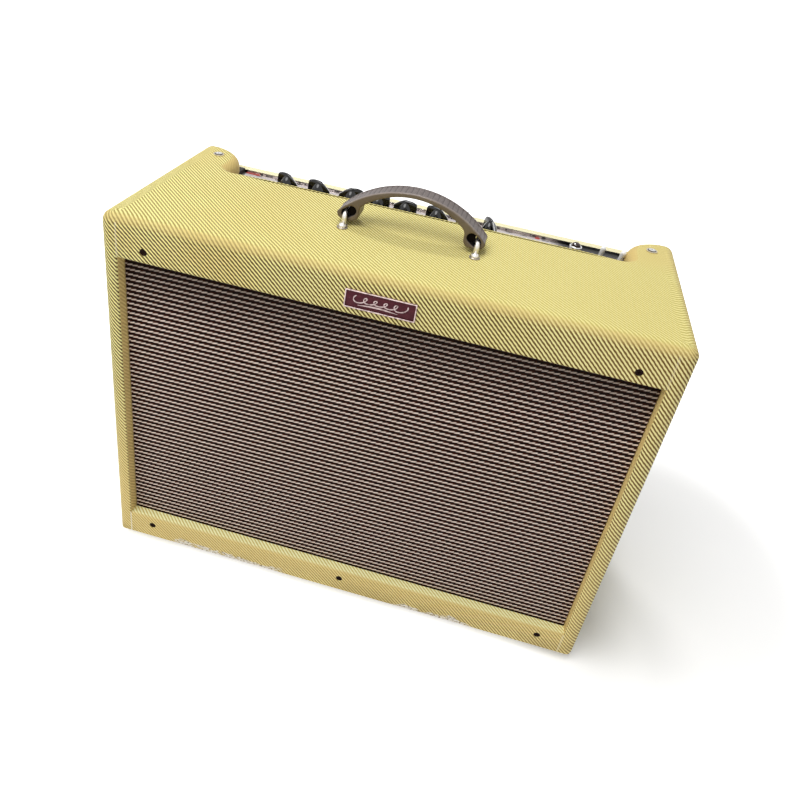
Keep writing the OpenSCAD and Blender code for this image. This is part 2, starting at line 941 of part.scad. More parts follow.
// Cases of the two push switches and the two toggles
module panel_switches() {
    color("dimgray") {
        for (x = button_x) {
            difference() {
                block([x - button_case / 2, button_y - button_case / 2, deck_z - sheet_t - 18],
                      [x + button_case / 2, button_y + button_case / 2, deck_z - sheet_t]);
                bar_z(x, button_y, deck_z - sheet_t - 4 - button_travel - 0.5,
                      deck_z, button_r + 0.3);
            }
        }
        for (x = toggle_x) {
            difference() {
                union() {
                    block([x - toggle_case[0] / 2, toggle_y - toggle_case[1] / 2,
                           deck_z - sheet_t - toggle_case[2]],
                          [x + toggle_case[0] / 2, toggle_y + toggle_case[1] / 2, deck_z - sheet_t]);
                    bar_z(x, toggle_y, deck_z - sheet_t, panel_z + toggle_bush_proud, toggle_bush_r);
                }
                translate([x, toggle_y, toggle_pivot_z]) sphere(toggle_ball_r + 0.06);
                translate([x, toggle_y, toggle_pivot_z]) {
                    cylinder(h = 6, r1 = 2.6, r2 = 4.2);
                }
                translate([x, toggle_y, toggle_pivot_z - 6]) {
                    cylinder(h = 6, r1 = 4.4, r2 = 2.6);
                }
            }
        }
    }
}

toggle_ball_r = 3.4;
bat_l = 22;
bat_tip_r = 2.6;

// Bat lever that tips about X, with its ball in the bush
module toggle(index) {
    color("silver") translate([toggle_x[index], toggle_y, toggle_pivot_z]) rotate([toggle_rest, 0, 0]) {
        sphere(toggle_ball_r);
        cylinder(h = bat_l - bat_tip_r, r1 = 1.5, r2 = bat_tip_r);
        translate([0, 0, bat_l - bat_tip_r]) sphere(bat_tip_r);
        translate([0, 0, -5.5]) cylinder(h = 4, r = 1.2);
    }
}

module toggle_standby() { toggle(0); }
module toggle_power() { toggle(1); }

jewel_r = 5.2;
jewel_seat = 3;
jewel_curve = 3.6;
pilot_h = 11.5;
pilot_step = 1.6;

module pilot_bezel() {
    color("silver") translate([pilot_x, pilot_y, 0]) difference() {
        union() {
            translate([0, 0, panel_z]) cylinder(h = pilot_step, r = pilot_r);
            translate([0, 0, panel_z + pilot_step]) {
                cylinder(h = pilot_h - pilot_step, r1 = pilot_r - 0.8, r2 = jewel_r + 1);
            }
            translate([0, 0, deck_z - sheet_t - 12]) {
                cylinder(h = panel_z + 1 - deck_z + sheet_t + 12, r = pilot_r - 1.6);
            }
        }
        translate([0, 0, panel_z + pilot_h - jewel_seat]) cylinder(h = jewel_seat + cut, r = jewel_r + 0.1);
        translate([0, 0, deck_z - sheet_t - 12 - cut]) {
            cylinder(h = panel_z + pilot_h - deck_z + sheet_t + 12, r = 4);
        }
    }
}

module pilot_jewel() {
    color("red") translate([pilot_x, pilot_y, panel_z + pilot_h - jewel_seat]) {
        cylinder(h = jewel_seat, r = jewel_r);
        intersection() {
            translate([0, 0, jewel_seat - jewel_curve]) sphere(sqrt(jewel_r * jewel_r + jewel_curve * jewel_curve));
            translate([0, 0, jewel_seat]) cylinder(h = 6, r = jewel_r);
        }
    }
}

// ---- Electronics ----

valve_y = (chassis_y0 + chassis_y1) / 2;
mains_core = [84, 66, 50];
mains_stack = 34;
mains_core_gap = 1.5;
mains_core_x = inner_x - cleat_w - mains_core_gap - mains_core[0] / 2;
power_pitch = 52;
power_x1 = mains_core_x - 78;
power_x = [power_x1 - power_pitch, power_x1];
preamp_pitch = 40;
preamp_x2 = power_x[0] - 50;
preamp_x = [for (i = [2:-1:0]) preamp_x2 - i * preamp_pitch];
preamp_r = 10.5;
preamp_h = 48;
power_r = 18.5;
power_h = 72;
power_base_r = 17;
power_base_h = 14;
socket_h = 12;
socket_step = 3;
socket_neck = 3;
valve_spots = [
    for (x = preamp_x) [x, preamp_r + 2.5],
    for (x = power_x) [x, power_base_r + 1]
];

// Circuit board on its pillars
board_x0 = -200;
board_x1 = 165;
board_front_gap = 12;
board_back_gap = 6;
board_lift = 22;
board_sheet = 1.6;
board_top_z = chassis_low_z + board_lift + board_sheet;
pillar_r = 3;
pillar_inset = 10;
pillar_edge = 6;

module circuit_board() {
    y0 = chassis_y0 + board_front_gap;
    y1 = chassis_y1 - board_back_gap;
    color("darkgreen") block([board_x0, y0, chassis_low_z + board_lift], [board_x1, y1, board_top_z]);
    color("silver") for (x = [board_x0 + pillar_inset, board_x1 - pillar_inset]) {
        for (y = [y0 + pillar_edge, y1 - pillar_edge]) {
            bar_z(x, y, chassis_low_z + sheet_t, chassis_low_z + board_lift, pillar_r);
        }
    }
}

// Capacitors lie along the board's left half, and resistors in a row beside them
can_count = 4;
can_x0 = -178;
can_step = 32;
can_r = 8;
can_l = 26;
can_in = 30;
can_y = chassis_y0 + can_in;
part_count = 12;
part_x0 = -60;
part_step = 18;
part_r = 3;
part_l = 14;
part_in = 24;
part_y = chassis_y0 + part_in;

module board_components() {
    for (i = [0:can_count - 1]) {
        color("royalblue") translate([can_x0 + i * can_step, can_y, board_top_z + can_r]) {
            rotate([0, 90, 0]) cylinder(h = can_l, r = can_r);
        }
    }
    for (i = [0:part_count - 1]) {
        color("orange") translate([part_x0 + i * part_step, part_y, board_top_z + part_r]) {
            rotate([-90, 0, 0]) cylinder(h = part_l, r = part_r);
        }
    }
}

// Output transformer beside the valves, and the bell covers of both transformers
output_core = [62, 52, 44];
output_core_x = preamp_x[0] - 65;
output_stack = 26;
bell_h = 14;
bell_in_x = 6;
bell_in_y = 5;
bell_edge_r = 8;

// Frame transformer with a laminated core and two bell covers, hung from the chassis
module transformer(x, size, core_t) {
    z1 = chassis_low_z;
    z0 = z1 - size[2];
    half_x = size[0] / 2;
    half_y = size[1] / 2;
    bell_x = half_x - bell_in_x;
    bell_y = half_y - bell_in_y;
    color("dimgray") {
        block([x - half_x, valve_y - half_y, z0], [x + half_x, valve_y + half_y, z0 + core_t]);
        intersection() {
            block([x - bell_x, valve_y - bell_y, z0 - bell_h], [x + bell_x, valve_y + bell_y, z0]);
            along_y(valve_y - size[1], valve_y + size[1]) {
                rounded_rect([x - bell_x, z0 - bell_h], [x + bell_x, z1], bell_edge_r, bell_edge_r);
            }
        }
        block([x - bell_x, valve_y - bell_y, z0 + core_t], [x + bell_x, valve_y + bell_y, z1]);
    }
}

module power_transformer() {
    transformer(mains_core_x, mains_core, mains_stack);
}

module output_transformer() {
    transformer(output_core_x, output_core, output_stack);
}

// Glass envelope with a domed end, base at the origin, hanging down
module valve_glass(r, h) {
    translate([0, 0, -h + r]) cylinder(h = h - r, r = r);
    translate([0, 0, -h + r]) sphere(r);
}

module power_valves() {
    for (x = power_x) {
        translate([x, valve_y, chassis_low_z - socket_h]) {
            color("saddlebrown") translate([0, 0, -power_base_h]) cylinder(h = power_base_h, r = power_base_r);
            color([0.8, 0.85, 0.85]) translate([0, 0, -power_base_h]) valve_glass(power_r, power_h);
        }
    }
}

module preamp_valves() {
    color([0.8, 0.85, 0.85]) for (x = preamp_x) {
        translate([x, valve_y, chassis_low_z - socket_h]) valve_glass(preamp_r, preamp_h);
    }
}

module valve_sockets() {
    color("white") for (spot = valve_spots) {
        translate([spot[0], valve_y, chassis_low_z - socket_h]) {
            cylinder(h = socket_h, r = spot[1]);
            translate([0, 0, socket_h]) cylinder(h = sheet_t + socket_neck, r = spot[1] - socket_step - seat_gap);
        }
    }
}

// ---- Mains inlet ----

inlet_x = 200;
inlet_size = [28, 21];
inlet_drop = 34;
inlet_z = under_z - inlet_drop;
inlet_wall = 2;
inlet_depth = 26;
inlet_flange = 4;

module inlet_cutout(y0, y1, gap) {
    block([inlet_x - inlet_size[0] / 2 - gap, y0, inlet_z - inlet_size[1] / 2 - gap],
          [inlet_x + inlet_size[0] / 2 + gap, y1, inlet_z + inlet_size[1] / 2 + gap]);
}

module mains_inlet() {
    color([0.1, 0.1, 0.1]) difference() {
        union() {
            inlet_cutout(rear_y - inlet_depth, rear_y, 0);
            along_y(rear_y, rear_y + proud) {
                rounded_rect([inlet_x - inlet_size[0] / 2 - inlet_flange, inlet_z - inlet_size[1] / 2 - inlet_flange],
                             [inlet_x + inlet_size[0] / 2 + inlet_flange, inlet_z + inlet_size[1] / 2 + inlet_flange],
                             3, 3);
            }
        }
        block([inlet_x - inlet_size[0] / 2 + inlet_wall, rear_y - inlet_depth + 6, inlet_z - inlet_size[1] / 2 + inlet_wall],
              [inlet_x + inlet_size[0] / 2 - inlet_wall, rear_y + proud + cut, inlet_z + inlet_size[1] / 2 - inlet_wall]);
    }
    color("silver") for (pin = [[-7, 2], [0, 5], [7, 2]]) {
        block([inlet_x + pin[0] - 1, rear_y - inlet_depth + 5, inlet_z + pin[1] - 2],
              [inlet_x + pin[0] + 1, rear_y - 6, inlet_z + pin[1] + 2]);
    }
}

// ---- Loudspeaker ----

// Places a shape on the loudspeaker's axis, its depth running backwards from the baffle
module on_speaker_axis() {
    translate([0, baffle_back_y, speaker_z]) rotate([-90, 0, 0]) children();
}

module bolt_ring() {
    for (i = [0:bolt_count - 1]) {
        rotate((i + 0.5) * 360 / bolt_count) translate([bolt_ring_r, 0, 0]) children();
    }
}

module speaker_bolt_holes(y0, y1) {
    translate([0, y0, speaker_z]) rotate([-90, 0, 0]) {
        bolt_ring() cylinder(h = y1 - y0, r = bolt_r + bolt_clearance);
    }
}

module speaker_gasket() {
    color([0.15, 0.15, 0.15]) on_speaker_axis() difference() {
        ring(speaker_r, speaker_hole_r + basket_step, gasket_t - surround_t);
        bolt_ring() translate([0, 0, -cut]) cylinder(h = gasket_t + 2 * cut, r = bolt_r + bolt_clearance);
    }
}

basket_wall_d = 30;
basket_taper = 10;
window_front_d = 14;
window_l = 40;
window_apex_r = 40;
window_end_r = 200;
window_end_half = 78;
basket_inner = [
    [speaker_r, flange_d], [speaker_hole_r + basket_step, flange_d],
    [speaker_hole_r - basket_taper, flange_d + basket_wall_d],
    [spider_r + 3, spider_ledge_d], [spider_r - 6, spider_ledge_d], [spider_r - 6, seat_d], [coil_r + 3, seat_d]
];
basket_outer = [for (p = basket_inner) [min(p[0] + basket_t * 0.8, speaker_r), p[1] + basket_t]];

module speaker_basket() {
    color([0.12, 0.12, 0.12]) on_speaker_axis() difference() {
        rotate_extrude() {
            polygon(concat(basket_inner, [for (i = [len(basket_outer) - 1:-1:0]) basket_outer[i]]));
        }
        bolt_ring() translate([0, 0, -cut]) cylinder(h = seat_d, r = bolt_r + bolt_clearance);
        for (i = [0:5]) {
            rotate(i * 60) translate([0, 0, flange_d + window_front_d]) linear_extrude(window_l) {
                polygon([
                    [window_apex_r, 0], [window_end_r, -window_end_half], [window_end_r, window_end_half]
                ]);
            }
        }
    }
}

module speaker_top_plate() {
    color("silver") on_speaker_axis() translate([0, 0, seat_d + basket_t]) {
        ring(magnet_r - 8, coil_r + coil_gap, plate_t);
    }
}

module speaker_magnet() {
    color([0.2, 0.2, 0.2]) on_speaker_axis() translate([0, 0, plate_back_d]) {
        ring(magnet_r, coil_r + 8, magnet_t);
    }
}

module speaker_yoke() {
    color("silver") on_speaker_axis() difference() {
        union() {
            translate([0, 0, magnet_back_d]) cylinder(h = plate_t, r = magnet_r - 4);
            translate([0, 0, seat_d + basket_t - 1]) cylinder(h = plate_t + magnet_t + 1 + cut, r = pole_r);
        }
        translate([0, 0, seat_d - cut]) cylinder(h = 2 * plate_t + magnet_t + pole_r, r = vent_r);
    }
}

module speaker_cone() {
    color([0.16, 0.15, 0.14]) on_speaker_axis() rotate_extrude() {
        polygon([
            [coil_r, cone_neck_d], [cone_edge_r, cone_edge_d], [cone_edge_r, cone_edge_d + cone_t],
            [coil_r, cone_neck_d + cone_t + 2]
        ]);
    }
}

dust_cap_r = 36;
dust_ball_r = 46;
dust_seat_d = cone_neck_d - (dust_cap_r - coil_r) * (cone_neck_d - cone_edge_d) / (cone_edge_r - coil_r);

module speaker_dust_cap() {
    color([0.12, 0.11, 0.1]) on_speaker_axis() {
        rim_d = dust_seat_d - 0.4;
        drop = sqrt(dust_ball_r * dust_ball_r - dust_cap_r * dust_cap_r);
        intersection() {
            translate([0, 0, rim_d + drop]) difference() {
                sphere(dust_ball_r);
                sphere(dust_ball_r - cone_t);
            }
            translate([0, 0, rim_d - dust_ball_r]) cylinder(h = dust_ball_r, r = dust_cap_r);
        }
    }
}

coil_back_d = seat_d + basket_t + plate_t + 5;

module voice_coil() {
    color("peru") on_speaker_axis() translate([0, 0, cone_neck_d + 0.2]) {
        ring(coil_r, coil_r - coil_t, coil_back_d - cone_neck_d);
    }
}

spider_t = 0.8;
spider_wave = 2;
spider_turns = 5;

spider_steps = 30;
spider_rim = 8;

// A wavy line from one radius to another, and a flat rim beyond it
function wave_line(d) = concat(
    [
        for (i = [0:spider_steps])
        let (s = i / spider_steps)
        [coil_r + 0.3 + s * (spider_r - spider_rim - coil_r - 0.3), d - spider_wave * sin(360 * spider_turns * s)]
    ],
    [[spider_r, d]]
);

// Corrugated disc that centres the voice coil, seated on the basket's ledge
module speaker_spider() {
    front = wave_line(spider_ledge_d - spider_t);
    back = wave_line(spider_ledge_d);
    color("goldenrod") on_speaker_axis() rotate_extrude() {
        polygon(concat(front, [for (i = [len(back) - 1:-1:0]) back[i]]));
    }
}

surround_t = 1;

// Roll that joins the cone's edge to the basket's rim
module speaker_surround() {
    color([0.1, 0.1, 0.1]) on_speaker_axis() difference() {
        rotate_extrude() polygon([
            [cone_edge_r + 0.1, cone_edge_d], [cone_edge_r + 3, cone_edge_d - 5],
            [cone_edge_r + 8, cone_edge_d - 7], [speaker_hole_r - 0.5, flange_d - surround_t],
            [speaker_r, flange_d - surround_t], [speaker_r, flange_d],
            [speaker_hole_r - 0.5, flange_d], [cone_edge_r + 8, cone_edge_d - 6],
            [cone_edge_r + 4, cone_edge_d - 4], [cone_edge_r + 1.2, cone_edge_d + 0.6]
        ]);
        bolt_ring() translate([0, 0, -cut]) cylinder(h = seat_d, r = bolt_r + bolt_clearance);
    }
}

module speaker_bolts() {
    color("silver") on_speaker_axis() bolt_ring() {
        translate([0, 0, -baffle_t + 1]) cylinder(h = baffle_t + gasket_t + basket_t + 8, r = bolt_r);
        translate([0, 0, flange_d + basket_t]) hex_nut(bolt_nut_r, bolt_r + 0.05, bolt_nut_t);
    }
}

// ---- Reverb tank ----

tank_size = [426, 106, 32];
tank_back_gap = 21.5;
tank_y0 = back_y - tank_back_gap - tank_size[1];
spring_pitch = 26;
spring_r = 3;

module reverb_tank() {
    color("silver") difference() {
        block([-tank_size[0] / 2, tank_y0, floor_z], [tank_size[0] / 2, tank_y0 + tank_size[1], floor_z + tank_size[2]]);
        block([-tank_size[0] / 2 + sheet_t, tank_y0 + sheet_t, floor_z - cut],
              [tank_size[0] / 2 - sheet_t, tank_y0 + tank_size[1] - sheet_t, floor_z + tank_size[2] - sheet_t]);
    }
}

module reverb_springs() {
    color("silver") for (i = [-1:1]) {
        translate([-tank_size[0] / 2 + sheet_t, tank_y0 + tank_size[1] / 2 + i * spring_pitch, floor_z + tank_size[2] / 2]) {
            rotate([0, 90, 0]) cylinder(h = tank_size[0] - 2 * sheet_t, r = spring_r);
        }
    }
}

// ---- Assembly ----

side_left();
side_right();
top_board();
bottom_board();
front_top_rail();
front_bottom_rail();
baffle_board();
grille_cloth();
back_cleats();
upper_back_panel();
lower_back_panel();
wood_screws();
front_screws();
badge();
handle();
handle_straps();
strap_screws();
feet();
chassis_screws();
chassis();
control_panel();
knob_presence();
knob_reverb();
knob_master();
knob_middle();
knob_bass();
knob_treble();
knob_drive();
knob_volume();
potentiometers();
jacks();
panel_nuts();
button_bright();
button_channel();
panel_switches();
pilot_bezel();
pilot_jewel();
toggle_standby();
toggle_power();
circuit_board();
board_components();
power_transformer();
output_transformer();
power_valves();
preamp_valves();
valve_sockets();
mains_inlet();
speaker_gasket();
speaker_basket();
speaker_top_plate();
speaker_magnet();
speaker_yoke();
speaker_cone();
speaker_dust_cap();
voice_coil();
speaker_spider();
speaker_surround();
speaker_bolts();
reverb_tank();
reverb_springs();
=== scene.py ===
"""Looks of a tweed-covered valve combo guitar amplifier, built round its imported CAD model."""

import json
import logging
import math
import random
from dataclasses import dataclass
from enum import Enum
from typing import Callable, Iterable, Optional, Sequence, Union

import bmesh
import bpy
from mathutils import Matrix, Vector

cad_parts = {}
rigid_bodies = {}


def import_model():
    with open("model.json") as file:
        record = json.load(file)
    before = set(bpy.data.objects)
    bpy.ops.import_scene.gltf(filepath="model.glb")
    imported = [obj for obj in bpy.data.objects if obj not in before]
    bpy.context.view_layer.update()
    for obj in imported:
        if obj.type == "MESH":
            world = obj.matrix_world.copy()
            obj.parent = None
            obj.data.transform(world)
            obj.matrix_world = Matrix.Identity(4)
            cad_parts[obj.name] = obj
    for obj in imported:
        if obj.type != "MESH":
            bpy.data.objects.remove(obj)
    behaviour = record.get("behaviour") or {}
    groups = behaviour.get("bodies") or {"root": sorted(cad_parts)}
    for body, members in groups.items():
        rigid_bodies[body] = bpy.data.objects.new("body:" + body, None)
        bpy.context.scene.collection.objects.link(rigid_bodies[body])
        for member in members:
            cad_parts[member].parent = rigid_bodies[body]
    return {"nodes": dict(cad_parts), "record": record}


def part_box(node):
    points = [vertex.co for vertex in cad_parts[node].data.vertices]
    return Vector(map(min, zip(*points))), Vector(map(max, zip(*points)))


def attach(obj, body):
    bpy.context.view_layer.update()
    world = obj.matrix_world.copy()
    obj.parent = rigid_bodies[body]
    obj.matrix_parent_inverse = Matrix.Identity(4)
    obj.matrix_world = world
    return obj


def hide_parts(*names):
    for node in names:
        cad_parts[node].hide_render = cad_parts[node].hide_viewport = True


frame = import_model()
for start_up in [thing for thing in bpy.data.objects if thing.name in ("Cube", "Light", "Camera")]:
    bpy.data.objects.remove(start_up)
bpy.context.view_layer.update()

LOG = logging.getLogger("amplifier")
MM = 0.001
FLAT_ANGLE = 1.0
SHARP_ANGLE = 30.0
Point = Sequence[float]
Colour = tuple[float, float, float]
Number = Union[float, "Value"]


def sheet_box(node: str) -> tuple[Vector, Vector]:
    """Lowest and highest corners of a CAD node, in millimetres.

    Args:
        node: name of the CAD node.

    Returns:
        The two corners.
    """
    low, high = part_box(node)
    return Vector(low) / MM, Vector(high) / MM


# ---- The cabinet's main planes, in millimetres ----

SIDE_LOW, SIDE_HIGH = sheet_box("side_right")
SILL_LOW, SILL_HIGH = sheet_box("front_bottom_rail")
HALF_W = SIDE_HIGH.x
INNER_X = SIDE_LOW.x
FRONT_Y = SIDE_LOW.y
REAR_Y = SIDE_HIGH.y
BASE_Z = SIDE_LOW.z
TOP_Z = SIDE_HIGH.z
UNDER_Z = sheet_box("top_board")[0].z
OPENING_HIGH = sheet_box("front_top_rail")[0].z
OPENING_LOW = SILL_HIGH.z
EDGE_R = 13.0
PLATE_Z = sheet_box("control_panel")[1].z
PANEL_Y = sheet_box("upper_back_panel")[0].y
HANDLE_HIGH = sheet_box("handle")[1]
HANDLE_X, HANDLE_Y = 0.5, -16.0
HANDLE_ARCH = 107.56
HANDLE_RIB = 5.8
EAR_SCREW_X, EAR_SCREW_Y = 268.0, 91.5
SPEAKER_Z = 217.0
SOCKET_Z = 366.0
HINGE_AT = {
    joint["child"]: Vector(joint["pos_m"]) / MM
    for joint in frame["record"]["behaviour"]["joints"] if "pos_m" in joint
}


# ---- Shader arithmetic ----


class Value:
    """A number that varies over a surface, with arithmetic that adds Math nodes."""

    def __init__(self, shader: "Shader", socket: bpy.types.NodeSocket) -> None:
        """Keeps the shader and the socket that carries the number."""
        self.shader = shader
        self.socket = socket

    def math(self, operation: str, *others: Number, flip: bool = False) -> "Value":
        """Adds one Math node.

        Args:
            operation: the node's operation.
            others: the further operands.
            flip: puts this value second instead of first.

        Returns:
            The node's result.
        """
        operands = [self, *others]
        if flip:
            operands.reverse()
        return self.shader.value("ShaderNodeMath", {"operation": operation}, *operands)

    def __add__(self, other: Number) -> "Value":
        """Sum."""
        return self.math("ADD", other)

    __radd__ = __add__

    def __sub__(self, other: Number) -> "Value":
        """Difference."""
        return self.math("SUBTRACT", other)

    def __rsub__(self, other: Number) -> "Value":
        """Difference from a plain number."""
        return self.math("SUBTRACT", other, flip=True)

    def __mul__(self, other: Number) -> "Value":
        """Product."""
        return self.math("MULTIPLY", other)

    __rmul__ = __mul__

    def __truediv__(self, other: Number) -> "Value":
        """Quotient."""
        return self.math("DIVIDE", other)

    def __rtruediv__(self, other: Number) -> "Value":
        """Quotient of a plain number by this one."""
        return self.math("DIVIDE", other, flip=True)

    def __abs__(self) -> "Value":
        """Magnitude."""
        return self.math("ABSOLUTE")

    def sign(self) -> "Value":
        """Plus or minus one."""
        return self.math("SIGN")

    def fract(self) -> "Value":
        """Part after the whole number."""
        return self.math("FRACT")

    def floor(self) -> "Value":
        """Whole number below."""
        return self.math("FLOOR")

    def root(self) -> "Value":
        """Square root."""
        return self.math("SQRT")

    def wave(self) -> "Value":
        """Sine of the value counted in whole turns."""
        return (self * math.tau).math("SINE")

    def over(self, limit: Number) -> "Value":
        """One where the value is over the limit, else zero."""
        return self.math("GREATER_THAN", limit)

    def under(self, limit: Number) -> "Value":
        """One where the value is under the limit, else zero."""
        return self.math("LESS_THAN", limit)

    def at_least(self, limit: Number) -> "Value":
        """The larger of the two."""
        return self.math("MAXIMUM", limit)

    def at_most(self, limit: Number) -> "Value":
        """The smaller of the two."""
        return self.math("MINIMUM", limit)

    def clamped(self) -> "Value":
        """Held between zero and one."""
        return self.at_least(0.0).at_most(1.0)

    def angle(self, other: Number) -> "Value":
        """Angle whose tangent is this value over the other."""
        return self.math("ARCTAN2", other)

    def ramp(self, low: float, high: float, to_low: float = 0.0, to_high: float = 1.0) -> "Value":
        """Smooth step between two limits.

        Args:
            low: where the step starts.
            high: where the step ends.
            to_low: result at the start.
            to_high: result at the end.

        Returns:
            The stepped value.
        """
        return self.shader.value(
            "ShaderNodeMapRange", {"interpolation_type": "SMOOTHSTEP"}, self, low, high, to_low, to_high
        )


class Shader:
    """Node tree of one material, with a Principled shader at its end."""

    def __init__(self, name: str) -> None:
        """Makes the material and its object coordinates."""
        self.material = bpy.data.materials.new(name)
        self.material.use_nodes = True
        self.tree = self.material.node_tree
        self.principled = self.tree.nodes["Principled BSDF"]
        self._axes: Optional[tuple[Value, Value, Value]] = None

    def node(self, kind: str, settings: Optional[dict] = None, *inputs: object, **named: object) -> bpy.types.Node:
        """Adds a node, sets it up and fills its inputs.

        Args:
            kind: the node's type.
            settings: properties that are set before the inputs, and a ramp's stops.
            inputs: values or sockets of the first inputs, in order.
            named: values or sockets of inputs by name, with spaces written as underscores.

        Returns:
            The node.
        """
        made = self.tree.nodes.new(kind)
        for key, setting in (settings or {}).items():
            if key == "stops":
                self._stops(made.color_ramp, setting)
            else:
                setattr(made, key, setting)
        for socket, given in zip(made.inputs, inputs):
            self.feed(socket, given)
        for key, given in named.items():
            self.feed(made.inputs[key.replace("_", " ")], given)
        return made

    @staticmethod
    def _stops(ramp: bpy.types.ColorRamp, stops: Sequence[tuple[float, Colour]]) -> None:
        """Writes a colour ramp's stops."""
        while len(ramp.elements) < len(stops):
            ramp.elements.new(1.0)
        for element, (place, colour) in zip(ramp.elements, stops):
            element.position = place
            element.color = (*colour, 1.0)

    def feed(self, socket: bpy.types.NodeSocket, given: object) -> None:
        """Links a value or socket to an input, or writes a constant in it."""
        if given is None:
            return
        if isinstance(given, Value):
            given = given.socket
        if isinstance(given, bpy.types.NodeSocket):
            self.tree.links.new(given, socket)
        elif isinstance(given, (tuple, list)) and len(given) == 3 and socket.type == "RGBA":
            socket.default_value = (*given, 1.0)
        else:
            socket.default_value = given

    def value(self, kind: str, settings: Optional[dict], *inputs: object) -> Value:
        """Adds a node and wraps its first output as a number."""
        return Value(self, self.node(kind, settings, *inputs).outputs[0])

    def axes(self) -> tuple[Value, Value, Value]:
        """Object coordinates in millimetres."""
        if self._axes is None:
            place = self.node("ShaderNodeTexCoord").outputs["Object"]
            parts = self.node("ShaderNodeSeparateXYZ", None, place)
            self._axes = tuple(Value(self, out) / MM for out in parts.outputs)
        return self._axes

    def faces(self, part: int = 1, kind: str = "True Normal") -> Value:
        """How far a surface looks along one axis (0, 1 or 2), from -1 to 1."""
        normal = self.node("ShaderNodeNewGeometry").outputs[kind]
        return Value(self, self.node("ShaderNodeSeparateXYZ", None, normal).outputs[part])

    def upness(self) -> Value:
        """How far a face looks up, from -1 to 1."""
        return self.faces(2)

    def vector(self, x: Number = 0.0, y: Number = 0.0, z: Number = 0.0) -> bpy.types.NodeSocket:
        """Joins three numbers."""
        return self.node("ShaderNodeCombineXYZ", None, x, y, z).outputs[0]

    def noise(
        self, at: Sequence[Number], scale: float, detail: float = 2.0, rough: float = 0.5, twist: float = 0.0
    ) -> Value:
        """Smooth noise from 0 to 1.

        Args:
            at: the point it is read at.
            scale: features per unit of the point.
            detail: octaves.
            rough: weight of the finer octaves.
            twist: distortion.

        Returns:
            The noise, about 0.5 on average.
        """
        made = self.node(
            "ShaderNodeTexNoise", {"noise_dimensions": "3D"}, Vector=self.vector(*at), Scale=scale,
            Detail=detail, Roughness=rough, Distortion=twist,
        )
        return Value(self, made.outputs["Fac"])

    def cloud(self, scale: float, detail: float, rough: float = 0.5) -> Value:
        """Noise with a number of features per millimetre, the same in all directions."""
        x, y, z = self.axes()
        return self.noise((x * scale, y * scale, z * scale), 1.0, detail, rough)

    def cells(self, at: Sequence[Number], scale: float) -> Value:
        """Distance to the nearest of scattered points."""
        made = self.node("ShaderNodeTexVoronoi", {"feature": "F1"}, Vector=self.vector(*at), Scale=scale)
        return Value(self, made.outputs["Distance"])

    def blend(self, factor: Number, first: object, second: object, mode: str = "MIX") -> bpy.types.NodeSocket:
        """Mixes two colours.

        Args:
            factor: share of the second colour.
            first: colour or socket.
            second: colour or socket.
            mode: how the second lies on the first.

        Returns:
            The mixed colour's socket.
        """
        made = self.tree.nodes.new("ShaderNodeMix")
        made.data_type = "RGBA"
        made.blend_type = mode
        self.feed(made.inputs[0], factor)
        self.feed(made.inputs[6], first)
        self.feed(made.inputs[7], second)
        return made.outputs[2]

    def ramp(self, factor: Value, stops: Sequence[tuple[float, Colour]]) -> bpy.types.NodeSocket:
        """Colour read from a ramp."""
        return self.node("ShaderNodeValToRGB", {"stops": stops}, factor).outputs[0]

    def bump(self, height: Value, depth: float, strength: float = 1.0) -> bpy.types.NodeSocket:
        """Normal that follows a height.

        Args:
            height: relief from 0 to 1.
            depth: its depth in millimetres.
            strength: share of the relief that shows.

        Returns:
            The normal's socket.
        """
        made = self.node("ShaderNodeBump", None, Strength=strength, Distance=depth * MM, Height=height)
        return made.outputs[0]

    def finish(
        self, colour: object, roughness: Number = 0.5, metallic: Number = 0.0,
        normal: Optional[bpy.types.NodeSocket] = None, coat: float = 0.0, **constants: float,
    ) -> bpy.types.Material:
        """Fills the Principled shader.

        Args:
            colour: base colour or its socket.
            roughness: number or value.
            metallic: number or value.
            normal: normal's socket.
            coat: weight of a clear coat.
            constants: further inputs by name, with spaces written as underscores.

        Returns:
            The material.
        """
        self.feed(self.principled.inputs["Base Color"], colour)
        self.feed(self.principled.inputs["Roughness"], roughness)
        self.feed(self.principled.inputs["Metallic"], metallic)
        self.feed(self.principled.inputs["Coat Weight"], coat)
        self.feed(self.principled.inputs["Normal"], normal)
        for key, constant in constants.items():
            self.feed(self.principled.inputs[key.replace("_", " ")], constant)
        return self.material


def paint(red: int, green: int, blue: int) -> Colour:
    """Linear colour of a written 0 to 255 one."""
    parts = (part / 255.0 for part in (red, green, blue))
    return tuple(p / 12.92 if p <= 0.04045 else ((p + 0.055) / 1.055) ** 2.4 for p in parts)


def grey(level: int) -> Colour:
    """Linear neutral colour of a written 0 to 255 level."""
    return paint(level, level, level)


# ---- Modelling ----


class Axis(Enum):
    """Axis that a turned shape stands on, as its turn about X."""

    Y = -math.pi / 2
    Z = 0.0


